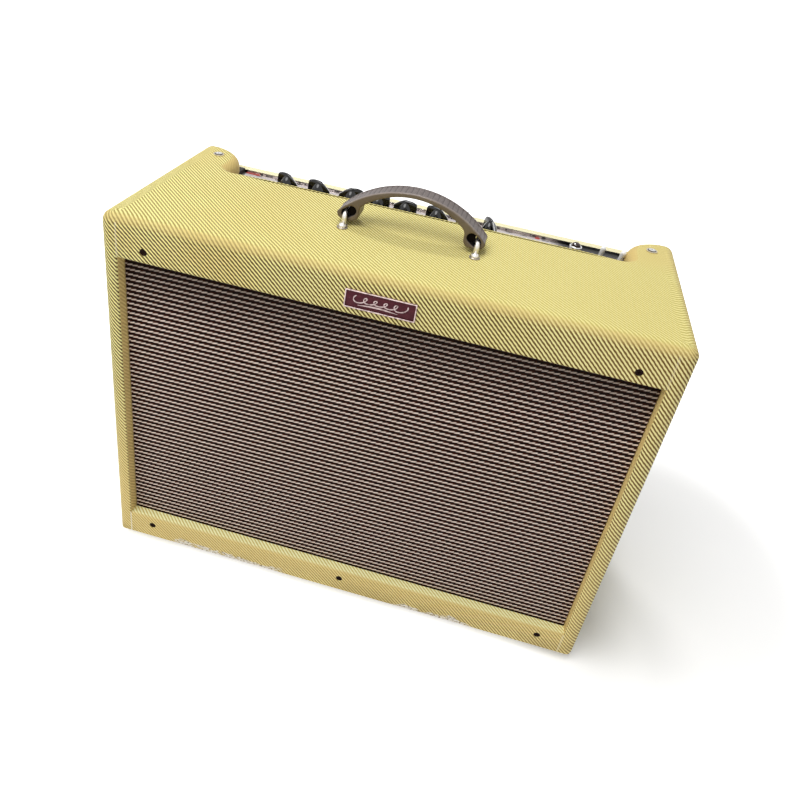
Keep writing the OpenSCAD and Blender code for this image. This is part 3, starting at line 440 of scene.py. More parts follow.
class Piece:
    """A mesh under construction, shaped with Blender's own operators. Sizes are in millimetres."""

    def __init__(self, made: bpy.types.Object, name: str) -> None:
        """Takes the object that was just made."""
        self.object = made
        made.name = name
        made.data.name = name

    # -- starts --

    @staticmethod
    def clear() -> None:
        """Deselects everything, so an operator acts on one object."""
        if bpy.context.object and bpy.context.object.mode != "OBJECT":
            bpy.ops.object.mode_set(mode="OBJECT")
        bpy.ops.object.select_all(action="DESELECT")

    @classmethod
    def box(cls, name: str, low: Point, high: Point) -> "Piece":
        """Starts from a cube between two corners."""
        cls.clear()
        centre = [(a + b) / 2 * MM for a, b in zip(low, high)]
        size = [(b - a) * MM for a, b in zip(low, high)]
        bpy.ops.mesh.primitive_cube_add(size=1.0, location=centre, scale=size)
        return cls(bpy.context.object, name).settle()

    @classmethod
    def rod(cls, name: str, centre: Point, radius: float, height: float, sides: int) -> "Piece":
        """Starts from an upright cylinder that stands on the given point.

        Args:
            name: the piece's name.
            centre: middle of its foot.
            radius: its radius.
            height: its height.
            sides: number of sides.

        Returns:
            The piece.
        """
        cls.clear()
        bpy.ops.mesh.primitive_cone_add(
            vertices=sides, radius1=radius * MM, radius2=radius * MM,
            depth=height * MM, location=(0, 0, height / 2 * MM), end_fill_type="NGON",
        )
        piece = cls(bpy.context.object, name).settle()
        return piece.moved(Matrix.Translation(Vector(centre) * MM))

    @classmethod
    def grid(cls, name: str, columns: int, rows: int, place: Callable[[float, float], Point]) -> "Piece":
        """Starts from a flat grid, whose every point is then placed.

        Args:
            name: the piece's name.
            columns: faces across.
            rows: faces along.
            place: gives a point in millimetres from its shares across and along.

        Returns:
            The piece.
        """
        cls.clear()
        bpy.ops.mesh.primitive_grid_add(x_subdivisions=columns, y_subdivisions=rows, size=2.0)
        piece = cls(bpy.context.object, name)
        mesh = piece.object.data
        for vertex in mesh.vertices:
            across, along = (vertex.co.x + 1) / 2, (vertex.co.y + 1) / 2
            vertex.co = Vector(place(across, along)) * MM
        return piece

    @classmethod
    def lathe(
        cls, name: str, profile: Sequence[tuple[float, float]], centre: Point, axis: Axis = Axis.Z,
        steps: int = 64, closed: bool = False,
    ) -> "Piece":
        """Spins a profile of (radius, height) points round an axis.

        Args:
            name: the piece's name.
            profile: points from one end to the other.
            centre: origin of the profile's heights.
            axis: axis of the turning.
            steps: segments round it.
            closed: joins the last point to the first.

        Returns:
            The piece, with outward normals.
        """
        cls.clear()
        bpy.ops.mesh.primitive_plane_add(size=1.0)
        piece = cls(bpy.context.object, name)
        bpy.ops.object.mode_set(mode="EDIT")
        mesh = bmesh.from_edit_mesh(piece.object.data)
        bmesh.ops.delete(mesh, geom=list(mesh.verts), context="VERTS")
        points = [mesh.verts.new((r * MM, 0.0, h * MM)) for r, h in profile]
        ends = points + points[:1] if closed else points
        for first, second in zip(ends, ends[1:]):
            mesh.edges.new((first, second))
        for part in (mesh.verts, mesh.edges):
            for element in part:
                element.select = True
        bmesh.update_edit_mesh(piece.object.data)
        bpy.ops.mesh.spin(steps=steps, angle=math.tau, center=(0, 0, 0), axis=(0, 0, 1))
        bpy.ops.mesh.select_all(action="SELECT")
        bpy.ops.mesh.remove_doubles(threshold=1e-6)
        bpy.ops.mesh.normals_make_consistent(inside=False)
        bpy.ops.object.mode_set(mode="OBJECT")
        return piece.moved(Matrix.Translation(Vector(centre) * MM) @ Matrix.Rotation(axis.value, 4, "X"))

    @classmethod
    def cad_copy(cls, name: str, node: str) -> "Piece":
        """Starts from a merged copy of a CAD node, with its flat faces made whole.

        Args:
            name: the piece's name.
            node: the CAD node.

        Returns:
            The piece.
        """
        cls.clear()
        source = frame["nodes"][node]
        copy = bpy.data.objects.new(name, source.data.copy())
        bpy.context.scene.collection.objects.link(copy)
        bpy.context.view_layer.objects.active = copy
        copy.select_set(True)
        piece = cls(copy, name)
        copy.data.materials.clear()
        bpy.ops.object.mode_set(mode="EDIT")
        bpy.ops.mesh.select_all(action="SELECT")
        bpy.ops.mesh.customdata_custom_splitnormals_clear()
        bpy.ops.mesh.remove_doubles(threshold=2e-6)
        bpy.ops.mesh.dissolve_limited(angle_limit=math.radians(FLAT_ANGLE), delimit=set())
        bpy.ops.object.mode_set(mode="OBJECT")
        return piece

    @classmethod
    def text(cls, name: str, words: str, size: float, at: Point, turn: float = 0.0, depth: float = 0.12) -> "Piece":
        """Raised characters that lie flat, centred on a point.

        Args:
            name: the piece's name.
            words: the characters.
            size: their height.
            at: the middle of their foot plane.
            turn: turn about Z in degrees.
            depth: how far they stand proud.

        Returns:
            The piece.
        """
        cls.clear()
        bpy.ops.object.text_add()
        made = bpy.context.object
        made.data.body = words
        made.data.size = size * MM
        made.data.align_x = "CENTER"
        made.data.align_y = "CENTER"
        made.data.extrude = depth / 2 * MM
        made.data.resolution_u = 3
        bpy.ops.object.convert(target="MESH")
        piece = cls(bpy.context.object, name)
        lift = Vector((at[0], at[1], at[2] + depth / 2)) * MM
        return piece.moved(Matrix.Translation(lift) @ Matrix.Rotation(math.radians(turn), 4, "Z"))

    # -- shaping --

    def settle(self) -> "Piece":
        """Puts the object's place and size into its mesh."""
        self.active()
        bpy.ops.object.transform_apply(location=True, rotation=True, scale=True)
        return self

    def active(self) -> None:
        """Makes this the one selected object."""
        self.clear()
        self.object.select_set(True)
        bpy.context.view_layer.objects.active = self.object

    def moved(self, transform: Matrix) -> "Piece":
        """Moves the mesh by a matrix in metres."""
        self.object.data.transform(transform)
        if transform.determinant() < 0:
            self.object.data.flip_normals()
        self.object.data.update()
        return self

    def _edited(self, kind: str) -> bmesh.types.BMesh:
        """Enters edit mode with nothing selected, for picking faces or edges."""
        self.active()
        bpy.ops.object.mode_set(mode="EDIT")
        bpy.ops.mesh.select_mode(type=kind)
        bpy.ops.mesh.select_all(action="DESELECT")
        return bmesh.from_edit_mesh(self.object.data)

    def pick(self, test: Callable[[Vector, Vector], bool]) -> "Piece":
        """Enters edit mode with the faces selected whose middle and normal pass a test.

        Args:
            test: is given a face's middle in millimetres and its normal.

        Returns:
            The piece.
        """
        mesh = self._edited("FACE")
        for face in mesh.faces:
            face.select = test(face.calc_center_median() / MM, face.normal)
        mesh.select_flush(True)
        bmesh.update_edit_mesh(self.object.data)
        return self

    def pick_edges(self, test: Callable[[Vector, Vector], bool]) -> "Piece":
        """Enters edit mode with the edges selected whose two ends, in millimetres, pass a test."""
        mesh = self._edited("EDGE")
        for edge in mesh.edges:
            edge.select = test(edge.verts[0].co / MM, edge.verts[1].co / MM)
        bmesh.update_edit_mesh(self.object.data)
        return self

    def done(self) -> "Piece":
        """Leaves edit mode."""
        bpy.ops.object.mode_set(mode="OBJECT")
        return self

    def extrude(self) -> "Piece":
        """Extrudes the picked faces in place, ready to be scaled."""
        bpy.ops.mesh.extrude_region_move(
            TRANSFORM_OT_translate={"value": (0.0, 0.0, 0.0), "orient_type": "GLOBAL"}
        )
        return self

    def inset(self, thickness: float) -> "Piece":
        """Insets the picked faces."""
        bpy.ops.mesh.inset(thickness=thickness * MM, depth=0.0)
        return self

    def round_picked(self, width: float, segments: int) -> "Piece":
        """Bevels the picked edges and leaves edit mode."""
        bpy.ops.mesh.bevel(offset=width * MM, segments=segments, profile=0.5, affect="EDGES", clamp_overlap=True)
        return self.done()

    def scale_picked(self, x: float, y: float, z: float, about: Point) -> "Piece":
        """Scales what is picked about a point."""
        bpy.ops.transform.resize(value=(x, y, z), center_override=Vector(about) * MM)
        return self

    def modify(self, kind: str, **settings: object) -> "Piece":
        """Adds a modifier and applies it.

        Args:
            kind: the modifier's type.
            settings: its properties, lengths in metres.

        Returns:
            The piece.
        """
        self.active()
        modifier = self.object.modifiers.new(kind.title(), kind)
        for key, setting in settings.items():
            setattr(modifier, key, setting)
        bpy.ops.object.modifier_apply(modifier=modifier.name)
        return self

    def soften(self, width: float, segments: int = 2) -> "Piece":
        """Rounds every sharp edge."""
        return self.modify(
            "BEVEL", width=width * MM, segments=segments, limit_method="ANGLE",
            angle_limit=math.radians(SHARP_ANGLE), use_clamp_overlap=True, harden_normals=False,
        )

    def thicken(self, thickness: float) -> "Piece":
        """Gives a shell its wall, inward."""
        return self.modify("SOLIDIFY", thickness=thickness * MM, offset=-1.0)

    def mapped(self, spot: Callable[[Vector], Vector]) -> "Piece":
        """Moves every point, given and returned in millimetres."""
        for vertex in self.object.data.vertices:
            vertex.co = Vector(spot(vertex.co / MM)) * MM
        self.object.data.update()
        return self

    def outward(self) -> "Piece":
        """Recalculates the normals of a closed mesh."""
        self.pick(lambda middle, normal: True)
        bpy.ops.mesh.normals_make_consistent(inside=False)
        return self.done()

    def join(self, others: Iterable["Piece"]) -> "Piece":
        """Takes other pieces into this one."""
        others = list(others)
        if others:
            self.active()
            for other in others:
                other.object.select_set(True)
            bpy.ops.object.join()
        return self

    @staticmethod
    def merged(name: str, parts: Sequence["Piece"]) -> "Piece":
        """One piece made of several, under a name of its own."""
        whole = parts[0].join(parts[1:])
        whole.object.name = name
        return whole

    def copy(self, name: str) -> "Piece":
        """Copies the piece with its own mesh."""
        made = bpy.data.objects.new(name, self.object.data.copy())
        bpy.context.scene.collection.objects.link(made)
        return Piece(made, name)

    # -- finishing --

    def dress(
        self, finish: "Finish", body: str, slot: str, replaces: Sequence[str] = (), smooth: float = 35.0
    ) -> "Piece":
        """Gives the piece its finish, smooth shading and place on a body.

        Args:
            finish: what it wears.
            body: CAD body that it rides on.
            slot: material slot of the record; not used.
            replaces: CAD nodes that it stands for.
            smooth: edges sharper than this many degrees stay sharp.

        Returns:
            The piece.
        """
        if not self.object.data.materials:
            self.object.data.materials.append(finish.material())
        self.active()
        bpy.ops.object.shade_smooth_by_angle(angle=math.radians(smooth))
        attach(self.object, body)
        if replaces:
            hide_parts(*replaces)
        LOG.info("%s: %d faces", self.object.name, len(self.object.data.polygons))
        return self


# ---- Finishes ----


@dataclass(frozen=True)
class Finish:
    """A named finish that makes its own material."""

    name: str

    def build(self, shader: Shader) -> bpy.types.Material:
        """Fills the shader's tree.

        Args:
            shader: the tree to fill.

        Returns:
            The material.
        """
        raise NotImplementedError

    def material(self) -> bpy.types.Material:
        """The finish's material, made once."""
        title = f"{self.name}_look"
        return bpy.data.materials.get(title) or self.build(Shader(title))


class Wrap(Enum):
    """How the covering runs round a board."""

    FRONT_AND_TOP = "front_and_top"
    SIDE = "side"
    SILL = "sill"
    UNDERSIDE = "underside"
    BACK = "back"


@dataclass(frozen=True)
class Pine(Finish):
    """Solid pine, with its rings along one axis."""

    along: int = 0
    light: Colour = paint(222, 184, 128)
    dark: Colour = paint(176, 122, 68)

    def grain(self, shader: Shader) -> tuple[bpy.types.NodeSocket, Value]:
        """Colour and relief of the grain.

        Args:
            shader: the tree to fill.

        Returns:
            The colour's socket and the relief.
        """
        x, y, z = shader.axes()
        run = [x, y, z][self.along]
        across = [part for index, part in enumerate((x, y, z)) if index != self.along]
        drift = shader.noise((run * 0.0035, across[0] * 0.016, across[1] * 0.016), 1.0, 2.0)
        rings = (across[0] * 0.055 + across[1] * 0.21 + drift * 9.0).wave() * 0.5 + 0.5
        ring = rings.ramp(0.35, 0.95)
        fibre = shader.noise((run * 0.05, across[0] * 2.2, across[1] * 2.2), 1.0, 3.0)
        knot = shader.cells((run * 0.006, across[0] * 0.011, across[1] * 0.011), 1.0).ramp(0.16, 0.08)
        colour = shader.blend(ring * 0.62 + fibre * 0.22, self.light, self.dark)
        colour = shader.blend(knot * 0.75, colour, paint(112, 66, 34))
        return colour, ring * 0.4 + fibre * 0.6

    def build(self, shader: Shader) -> bpy.types.Material:
        """Bare sanded pine, near black high up at the back as painted shade."""
        colour, relief = self.grain(shader)
        _, y, z = shader.axes()
        # Painted shade: the pine above the control strip's level towards the back turns near black.
        colour = shader.blend(z.over(PLATE_Z - 3.0) * y.over(40.0), colour, paint(20, 16, 13))
        return shader.finish(colour, relief * 0.15 + 0.55, normal=shader.bump(relief, 0.12, 0.5))


@dataclass(frozen=True)
class Tweed(Finish):
    """Lacquered twill of straw and brown yarn, glued round the boards, with pine where they are bare."""

    wrap: Wrap = Wrap.FRONT_AND_TOP
    across: float = 0.200
    upward: float = 0.205
    yarn: float = 1.16
    straw: Colour = paint(255, 246, 164)
    warm: Colour = paint(244, 218, 130)
    brown: Colour = paint(84, 60, 18)
    # Colour that the brown yarn turns on up-facing faces, as painted top light.
    faded: Colour = paint(200, 184, 104)

    @staticmethod
    def arc(rise: Value, run: Value) -> Value:
        """Length along an eased edge to where a point lies, from its distances past the edge's centre."""
        return rise.at_least(0.0).angle(run.at_least(0.001)) * EDGE_R

    def spread(self, shader: Shader) -> tuple[Value, Value]:
        """Where a point lies on the flat cloth before it was wrapped.

        Args:
            shader: the tree to fill.

        Returns:
            Millimetres along and up the cloth.
        """
        x, y, z = shader.axes()
        bend_x, bend_y, bend_z = HALF_W - EDGE_R, FRONT_Y + EDGE_R, TOP_Z - EDGE_R
        quarter = EDGE_R * math.pi / 2
        arc_up = self.arc(z - bend_z, bend_y - y)
        over = z.at_most(bend_z) + arc_up
        flat_top = (y - bend_y) + (TOP_Z - z) + (bend_z + quarter)
        past = y.over(bend_y)
        front = over * (1.0 - past) + flat_top * past
        if self.wrap is Wrap.FRONT_AND_TOP:
            return x, front
        if self.wrap is Wrap.SILL:
            return x, z + (y - FRONT_Y)
        if self.wrap is Wrap.UNDERSIDE:
            under = z.under(BASE_Z + 0.6)
            return x, z - (y - FRONT_Y) * under
        if self.wrap is Wrap.BACK:
            return x, z + (y - REAR_Y)
        size = abs(x)
        hand = x.sign()
        rear = REAR_Y - EDGE_R
        arc_side = self.arc(size - bend_x, bend_y - y)
        arc_rear = self.arc(y - rear, size - bend_x)
        tail = (bend_x - size).at_least(0.0) * y.over(REAR_Y - 0.5)
        around = size.at_most(bend_x) + arc_side + (y.at_most(rear) - bend_y).at_least(0.0) + arc_rear + tail
        arc_top = self.arc(z - bend_z, size - bend_x)
        band = z.at_most(bend_z) + arc_top + (bend_x - size).at_least(0.0)
        mitre = ((y - FRONT_Y) - (HALF_W - size)).over(0.0)
        reveal = size.under(INNER_X + 0.2)
        around = around * (1.0 - reveal) + (INNER_X - (y - FRONT_Y)) * reveal
        up = band * mitre + front * (1.0 - mitre)
        return hand * around, up

    def bare(self, shader: Shader) -> Value:
        """One on the inside faces that the cloth doesn't reach."""
        x, y, z = shader.axes()
        if self.wrap is Wrap.BACK:
            return y.under(PANEL_Y + 0.3)
        inside = abs(x).under(INNER_X + 0.1) * y.over(FRONT_Y + 15.0)
        inside = inside * z.over(SILL_LOW.z - 0.1) * z.under(UNDER_Z + 0.1)
        return inside * y.under(REAR_Y - 8.0)

    def build(self, shader: Shader) -> bpy.types.Material:
        """Twill stripes with stepped edges, yarn relief, soiling, wear, and painted light and shade.

        Args:
            shader: the tree to fill.

        Returns:
            The material.
        """
        _, y, z = shader.axes()
        u, w = self.spread(shader)
        wander = shader.cloud(0.012, 2.0) - 0.5
        slub = shader.noise((u * 0.16, w * 0.16, 0.0), 1.0, 1.0) - 0.5
        step = ((u / self.yarn).floor() + 0.5) * self.yarn
        turns = (u * 0.45 + step * 0.55) * self.across + w * self.upward + wander * 0.5 + slub * 0.16
        stripe = turns.wave()
        beads = (u * 0.43 + w * 0.21 + slub * 0.3).wave()
        weft = (w / self.yarn + slub * 0.2).wave()
        fibre = shader.noise((u * 1.9, w * 1.9, 0.0), 1.0, 2.0, 0.65)
        straw = (stripe + beads * 0.16 + weft * 0.1 + (fibre - 0.5) * 0.6).ramp(-0.42, 0.36)
        shade = shader.cloud(0.009, 3.0, 0.6)
        dark, light = self.yarns(shader, shade, fibre)
        colour = shader.blend(straw, dark, light)
        colour = shader.blend((beads * 0.5 + 0.5) * straw * 0.2, colour, paint(255, 252, 206))
        colour = self.edges(shader, self.soiled(shader, colour, shade), fibre, beads)
        relief = straw * 0.45 + (beads * 0.5 + 0.5) * 0.2 + (weft * 0.5 + 0.5) * 0.15 + fibre * 0.2
        bare = self.bare(shader)
        grain, wood_relief = Pine("", 2 if self.wrap is Wrap.SIDE else 0).grain(shader)
        # Painted shade: bare inner faces high up behind the control strip turn near black.
        grain = shader.blend(z.over(PLATE_Z - 4.0) * y.over(100.0), grain, paint(26, 20, 16))
        colour = shader.blend(bare, colour, grain)
        height = relief * (1.0 - bare) + wood_relief * bare * 0.2
        rough = 0.62 - straw * 0.12 + fibre * 0.1
        return shader.finish(colour, rough, normal=shader.bump(height, 0.42, 0.75), Specular_IOR_Level=0.16)

    def yarns(
        self, shader: Shader, shade: Value, fibre: Value
    ) -> tuple[bpy.types.NodeSocket, bpy.types.NodeSocket]:
        """Colours of the brown and the straw yarn, warmed in broad patches, paled on up-facing faces and brightened
        on the front towards the right as painted light, and plainer low on the front.

        Args:
            shader: the tree to fill.
            shade: broad noise.
            fibre: fine noise.

        Returns:
            The dark yarn's colour and the light yarn's.
        """
        x, _, z = shader.axes()
        # Painted top light: up-facing faces get paler, plainer yarns, more so towards the right; on the sill's ledge
        # they turn bright.
        lit = shader.upness().ramp(0.35, 0.95)
        light = shader.blend(shade.ramp(0.35, 0.7) * 0.5, self.straw, self.warm)
        dark = shader.blend(fibre.ramp(0.35, 0.75) * 0.4, self.brown, paint(150, 118, 56))
        if self.wrap is Wrap.SILL:
            dark = shader.blend(lit * 0.84, dark, paint(236, 218, 132))
            light = shader.blend(lit, light, paint(255, 254, 202))
        else:
            dark = shader.blend(lit * x.ramp(-260.0, 210.0, 0.58, 1.0), dark, self.faded)
            light = shader.blend(lit * x.ramp(-200.0, 240.0, 0.35, 0.85), light, paint(232, 221, 146))
        # Painted light: front faces are brightened towards the right.
        ahead = (shader.faces(1) * -1.0).ramp(0.4, 0.9)
        low = z.ramp(320.0, 60.0) * x.ramp(280.0, -280.0, 0.55, 1.0) * ahead
        right = ahead * x.ramp(60.0, 300.0)
        light = shader.blend(right * 0.7, light, paint(255, 240, 168))
        dark = shader.blend(right * 0.3, dark, paint(150, 112, 52))
        if self.wrap is Wrap.SILL:
            low = ahead * x.ramp(280.0, -280.0, 0.8, 1.0)
        dark = shader.blend(low * 0.88, dark, paint(210, 178, 106))
        light = shader.blend(low * 0.75, light, paint(244, 218, 144))
        return dark, light

    def soiled(self, shader: Shader, colour: object, shade: Value) -> bpy.types.NodeSocket:
        """Tans the cloth where it is rolled over edges and on the ears' walls as painted shade, pales the back
        panels' top edges as painted light, calms the ears and darkens the foot.

        Args:
            shader: the tree to fill.
            colour: the cloth's colour.
            shade: broad noise.

        Returns:
            The colour's socket.
        """
        x, y, z = shader.axes()
        lit = shader.upness().ramp(0.35, 0.95)
        # Painted shade: the cloth turns tan where it rolls over edges, and more so on the ears' walls.
        rolled = shader.upness().ramp(0.12, 0.5) * (1.0 - shader.upness().ramp(0.8, 0.985))
        ear = abs(x).ramp(262.0, 250.0) * y.over(51.0) * shader.upness().ramp(0.999, 0.93) * z.over(UNDER_Z)
        rolled = (rolled * (shade * 0.5 + 0.2)).at_least(ear * 0.85)
        calm = y.ramp(25.0, 75.0) * (x.ramp(150.0, 235.0) + x.ramp(-238.0, -285.0) * 0.6) * lit
        colour = shader.blend(calm * 0.75, colour, paint(222, 203, 130))
        colour = shader.blend(rolled, colour, paint(218, 190, 120))
        # Painted light: the back panels' up-facing top edges turn pale.
        if self.wrap is Wrap.BACK:
            colour = shader.blend(shader.upness().ramp(0.3, 0.8) * 0.75, colour, paint(255, 250, 214))
        dust = shader.cloud(0.02, 3.0)
        grime = z.ramp(BASE_Z + 26.0, BASE_Z) * dust.ramp(0.42, 0.65)
        colour = shader.blend(grime * 0.3, colour, paint(138, 112, 70))
        reveal = abs(x).under(INNER_X + 0.3) * y.under(FRONT_Y + 15.0) * z.over(SILL_LOW.z) * z.under(UNDER_Z)
        if self.wrap is Wrap.SIDE:
            colour = shader.blend(reveal * 0.75, colour, paint(238, 206, 134))
        return colour

    def edges(self, shader: Shader, colour: object, fibre: Value, beads: Value) -> bpy.types.NodeSocket:
        """Lays pale cut threads along the seams and worn, frayed patches along the foot, with painted shadow between
        their threads.

        Args:
            shader: the tree to fill.
            colour: the cloth's colour.
            fibre: fine noise.
            beads: yarn crowns.

        Returns:
            The colour's socket.
        """
        x, y, z = shader.axes()
        front = y.under(FRONT_Y + 0.8)
        beside_rails = z.under(OPENING_LOW) + z.over(OPENING_HIGH) * 0.45
        seam = abs(abs(x) - INNER_X).ramp(1.3, 0.5) * front * x.ramp(280.0, -280.0, 0.4, 1.0) * beside_rails
        colour = shader.blend((seam * (beads * 0.5 + 0.75)).clamped(), colour, paint(255, 249, 222))
        rag = shader.noise((x * 0.05, z * 0.11, 2.0), 1.0, 4.0, 0.62)
        place = abs(x + 150.0).ramp(84.0, 56.0) + abs(x - 122.0).ramp(60.0, 34.0)
        foot = (z + (rag - 0.5) * 30.0).ramp(BASE_Z + 8.5, BASE_Z + 5.5) * y.under(FRONT_Y + 12.0) * place
        torn = shader.noise((x * 0.3, z * 0.45, 5.0), 1.0, 3.0, 0.65)
        # The dark share of the frayed patches is painted shadow between the threads.
        frayed_with_shadow = shader.blend(torn.ramp(0.4, 0.5), paint(104, 80, 52), paint(255, 252, 244))
        frayed_with_shadow = shader.blend(fibre.ramp(0.4, 0.62) * 0.3, frayed_with_shadow, paint(222, 198, 150))
        return shader.blend((foot * (torn * 0.5 + 0.65)).clamped(), colour, frayed_with_shadow)


@dataclass(frozen=True)
class GrilleCloth(Finish):
    """Thin straw lines of twisted cord over oxblood and black."""

    pitch: float = 6.0
    stroke: float = 6.0
    lean: float = 0.20
    straw: Colour = paint(252, 233, 220)
    dull: Colour = paint(190, 164, 148)
    oxblood: Colour = paint(64, 28, 12)
    black: Colour = paint(10, 4, 2)

    def build(self, shader: Shader) -> bpy.types.Material:
        """Nearly unbroken lines of slightly slanted strokes, with dark knots between them, and a painted shadow under
        the top rail.

        Args:
            shader: the tree to fill.

        Returns:
            The material.
        """
        x, _, z = shader.axes()
        rise = z / self.pitch
        row = rise.floor()
        inside = rise - row - 0.5
        odd = (row * 0.5).fract() * 2.0
        wobble = shader.noise((x * 0.03, row * 3.1, 0.0), 1.0, 2.0) - 0.5
        along = x / self.stroke + odd * 0.5 + wobble * 0.5 - inside * 0.3
        spot = along.fract() - 0.5
        dim = (along.floor() * 0.5).fract() * 2.0
        fibre = shader.noise((x * 1.1, z * 3.0, 0.0), 1.0, 3.0, 0.6)
        off = abs(inside - spot * self.lean)
        width = 0.166 - abs(spot).ramp(0.30, 0.50) * 0.06
        line = (off - width).ramp(0.08, -0.09)
        dulled = dim * 0.2 + fibre.ramp(0.35, 0.75) * 0.45 + abs(spot).ramp(0.34, 0.5) * 0.3
        tone = shader.blend(dulled.clamped(), self.straw, self.dull)
        knot = abs((x / (self.stroke * 2.0) + odd * 0.5 + wobble * 0.3).fract() - 0.5).ramp(0.34, 0.18)
        ground = shader.blend(fibre.ramp(0.3, 0.7) * 0.7, self.oxblood, paint(38, 16, 8))
        ground = shader.blend((knot * 0.85 + abs(inside).ramp(0.34, 0.46) * 0.35).clamped(), ground, self.black)
        colour = shader.blend(line, ground, tone)
        # Painted shadow: the cloth darkens towards black under the top rail.
        colour = shader.blend(z.ramp(330.0, 404.0) * 0.5 + z.ramp(402.0, 407.0) * 0.4, colour, self.black)
        relief = line * 0.7 + fibre * 0.3
        return shader.finish(colour, 0.8 - line * 0.15, normal=shader.bump(relief, 0.8, 0.8), Specular_IOR_Level=0.08)


@dataclass(frozen=True)
class Leather(Finish):
    """Worn leather with a fine grain, dark on its flanks and mauve on its crown, with a painted highlight along the
    crown's rims and painted shade inside its slots.
    """

    flank: Colour = paint(106, 93, 76)
    crown: Colour = paint(112, 102, 99)
    # Colour of the painted highlight along the crown's rims.
    rubbed: Colour = paint(158, 146, 138)

    def build(self, shader: Shader) -> bpy.types.Material:
        """Pebbled leather, paler where hands have rubbed it, with a painted highlight along its rims and painted
        shade inside its slots.

        Args:
            shader: the tree to fill.

        Returns:
            The material.
        """
        x, y, z = shader.axes()
        pebble = shader.cells((x, y, z), 0.85)
        crease = shader.noise((x * 0.5, y * 0.12, z * 0.12), 1.0, 3.0, 0.6, 0.6)
        rub = shader.noise((x * 0.05, y * 0.08, z * 0.05), 1.0, 2.0)
        up = shader.upness()
        colour = shader.blend(rub.ramp(0.38, 0.68) * 0.3 + crease * 0.15, self.flank, paint(128, 115, 96))
        top = shader.blend(crease.ramp(0.35, 0.7) * 0.5, self.crown, paint(84, 73, 69))
        side = abs(y - HANDLE_Y)
        turn = (x - HANDLE_X).angle(z - (HANDLE_HIGH.z - HANDLE_ARCH)) * HANDLE_ARCH
        groove = abs((turn / HANDLE_RIB).fract() - 0.5).ramp(0.36, 0.47) * side.ramp(10.4, 9.4)
        top = shader.blend(groove * 0.6, top, paint(40, 32, 30))
        colour = shader.blend(up.ramp(0.25, 0.75), colour, top)
        # Painted highlight: a pale line along the crown's rims, varied by the rub noise.
        rim = abs(side - 11.6).ramp(1.5, 0.5) * up.ramp(0.1, 0.45) * z.over(TOP_Z + 22.0)
        colour = shader.blend(rim * (0.45 + rub * 0.5), colour, self.rubbed)
        colour = shader.blend(pebble.ramp(0.35, 0.05) * 0.3, colour, paint(78, 68, 58))
        # Painted shade: the slots' inner walls turn near black.
        out, rise = abs(x - HANDLE_X) - 68.0, z - 474.0
        along = (rise * 0.574 - out * 0.819).at_least(-3.2).at_most(3.2)
        aside, above = out + along * 0.819, rise - along * 0.574
        in_slot = (aside * aside + above * above).root().under(6.0)
        hidden = in_slot * side.under(11.6) * abs(shader.faces()).under(0.6)
        colour = shader.blend(hidden * 0.9, colour, paint(14, 11, 10))
        relief = pebble * 0.6 + crease * 0.7
        rough = 0.46 - rub * 0.14 - rim * 0.12 + hidden * 0.4
        return shader.finish(colour, rough, normal=shader.bump(relief, 0.22, 0.6), Specular_IOR_Level=0.22)


@dataclass(frozen=True)
class Metal(Finish):
    """Bare or plated metal with smudges, scratches, darker dirt in patches and painted shade on faces that look down,
    right or back.
    """

    colour: Colour = grey(205)
    dirt: Colour = grey(120)
    roughness: float = 0.2
    tarnish: float = 0.35
    # shading is the share of painted shade on faces that look down, right or back, and depth its colour.
    shading: float = 0.0
    depth: Colour = paint(70, 62, 50)
    ring: float = 0.0
    spangle: float = 0.0

    def build(self, shader: Shader) -> bpy.types.Material:
        """Smudged metal with painted shade.

        Args:
            shader: the tree to fill.

        Returns:
            The material.
        """
        x, y, z = shader.axes()
        smudge = shader.cloud(0.22, 3.0, 0.6)
        fine = shader.cloud(2.4, 2.0)
        colour = shader.blend(smudge.ramp(0.45, 0.75) * self.tarnish, self.colour, self.dirt)
        # Painted shade: faces that look down, right or back are darkened towards the depth colour.
        turned_away_shade = (shader.faces(2) * -0.45 + shader.faces(0) * 0.28 + shader.faces(1) * 0.3 + 0.1).clamped()
        colour = shader.blend((turned_away_shade * self.shading).clamped(), colour, self.depth)
        if self.ring:
            out, back = abs(x) - EAR_SCREW_X, y - EAR_SCREW_Y
            reach = (out * out + back * back).root()
            # Painted shade: a dark band round each ear screw's head.
            band = reach.ramp(self.ring, self.ring + 0.5) * reach.ramp(self.ring + 1.9, self.ring + 1.3)
            colour = shader.blend(band * 0.85, colour, paint(88, 76, 58))
            colour = shader.blend(reach.ramp(self.ring + 1.3, self.ring + 1.9) * 0.6, colour, paint(206, 188, 140))
        rough = smudge.ramp(0.3, 0.8) * 0.16 + fine * 0.06 + (self.roughness - 0.05)
        if self.spangle:
            flake = shader.node(
                "ShaderNodeTexVoronoi", {"feature": "F1"}, Vector=shader.vector(x, y, z), Scale=self.spangle
            ).outputs["Color"]
            colour = shader.blend(0.22, colour, flake, "SOFT_LIGHT")
        return shader.finish(colour, rough, 1.0, shader.bump(fine, 0.03, 0.35))


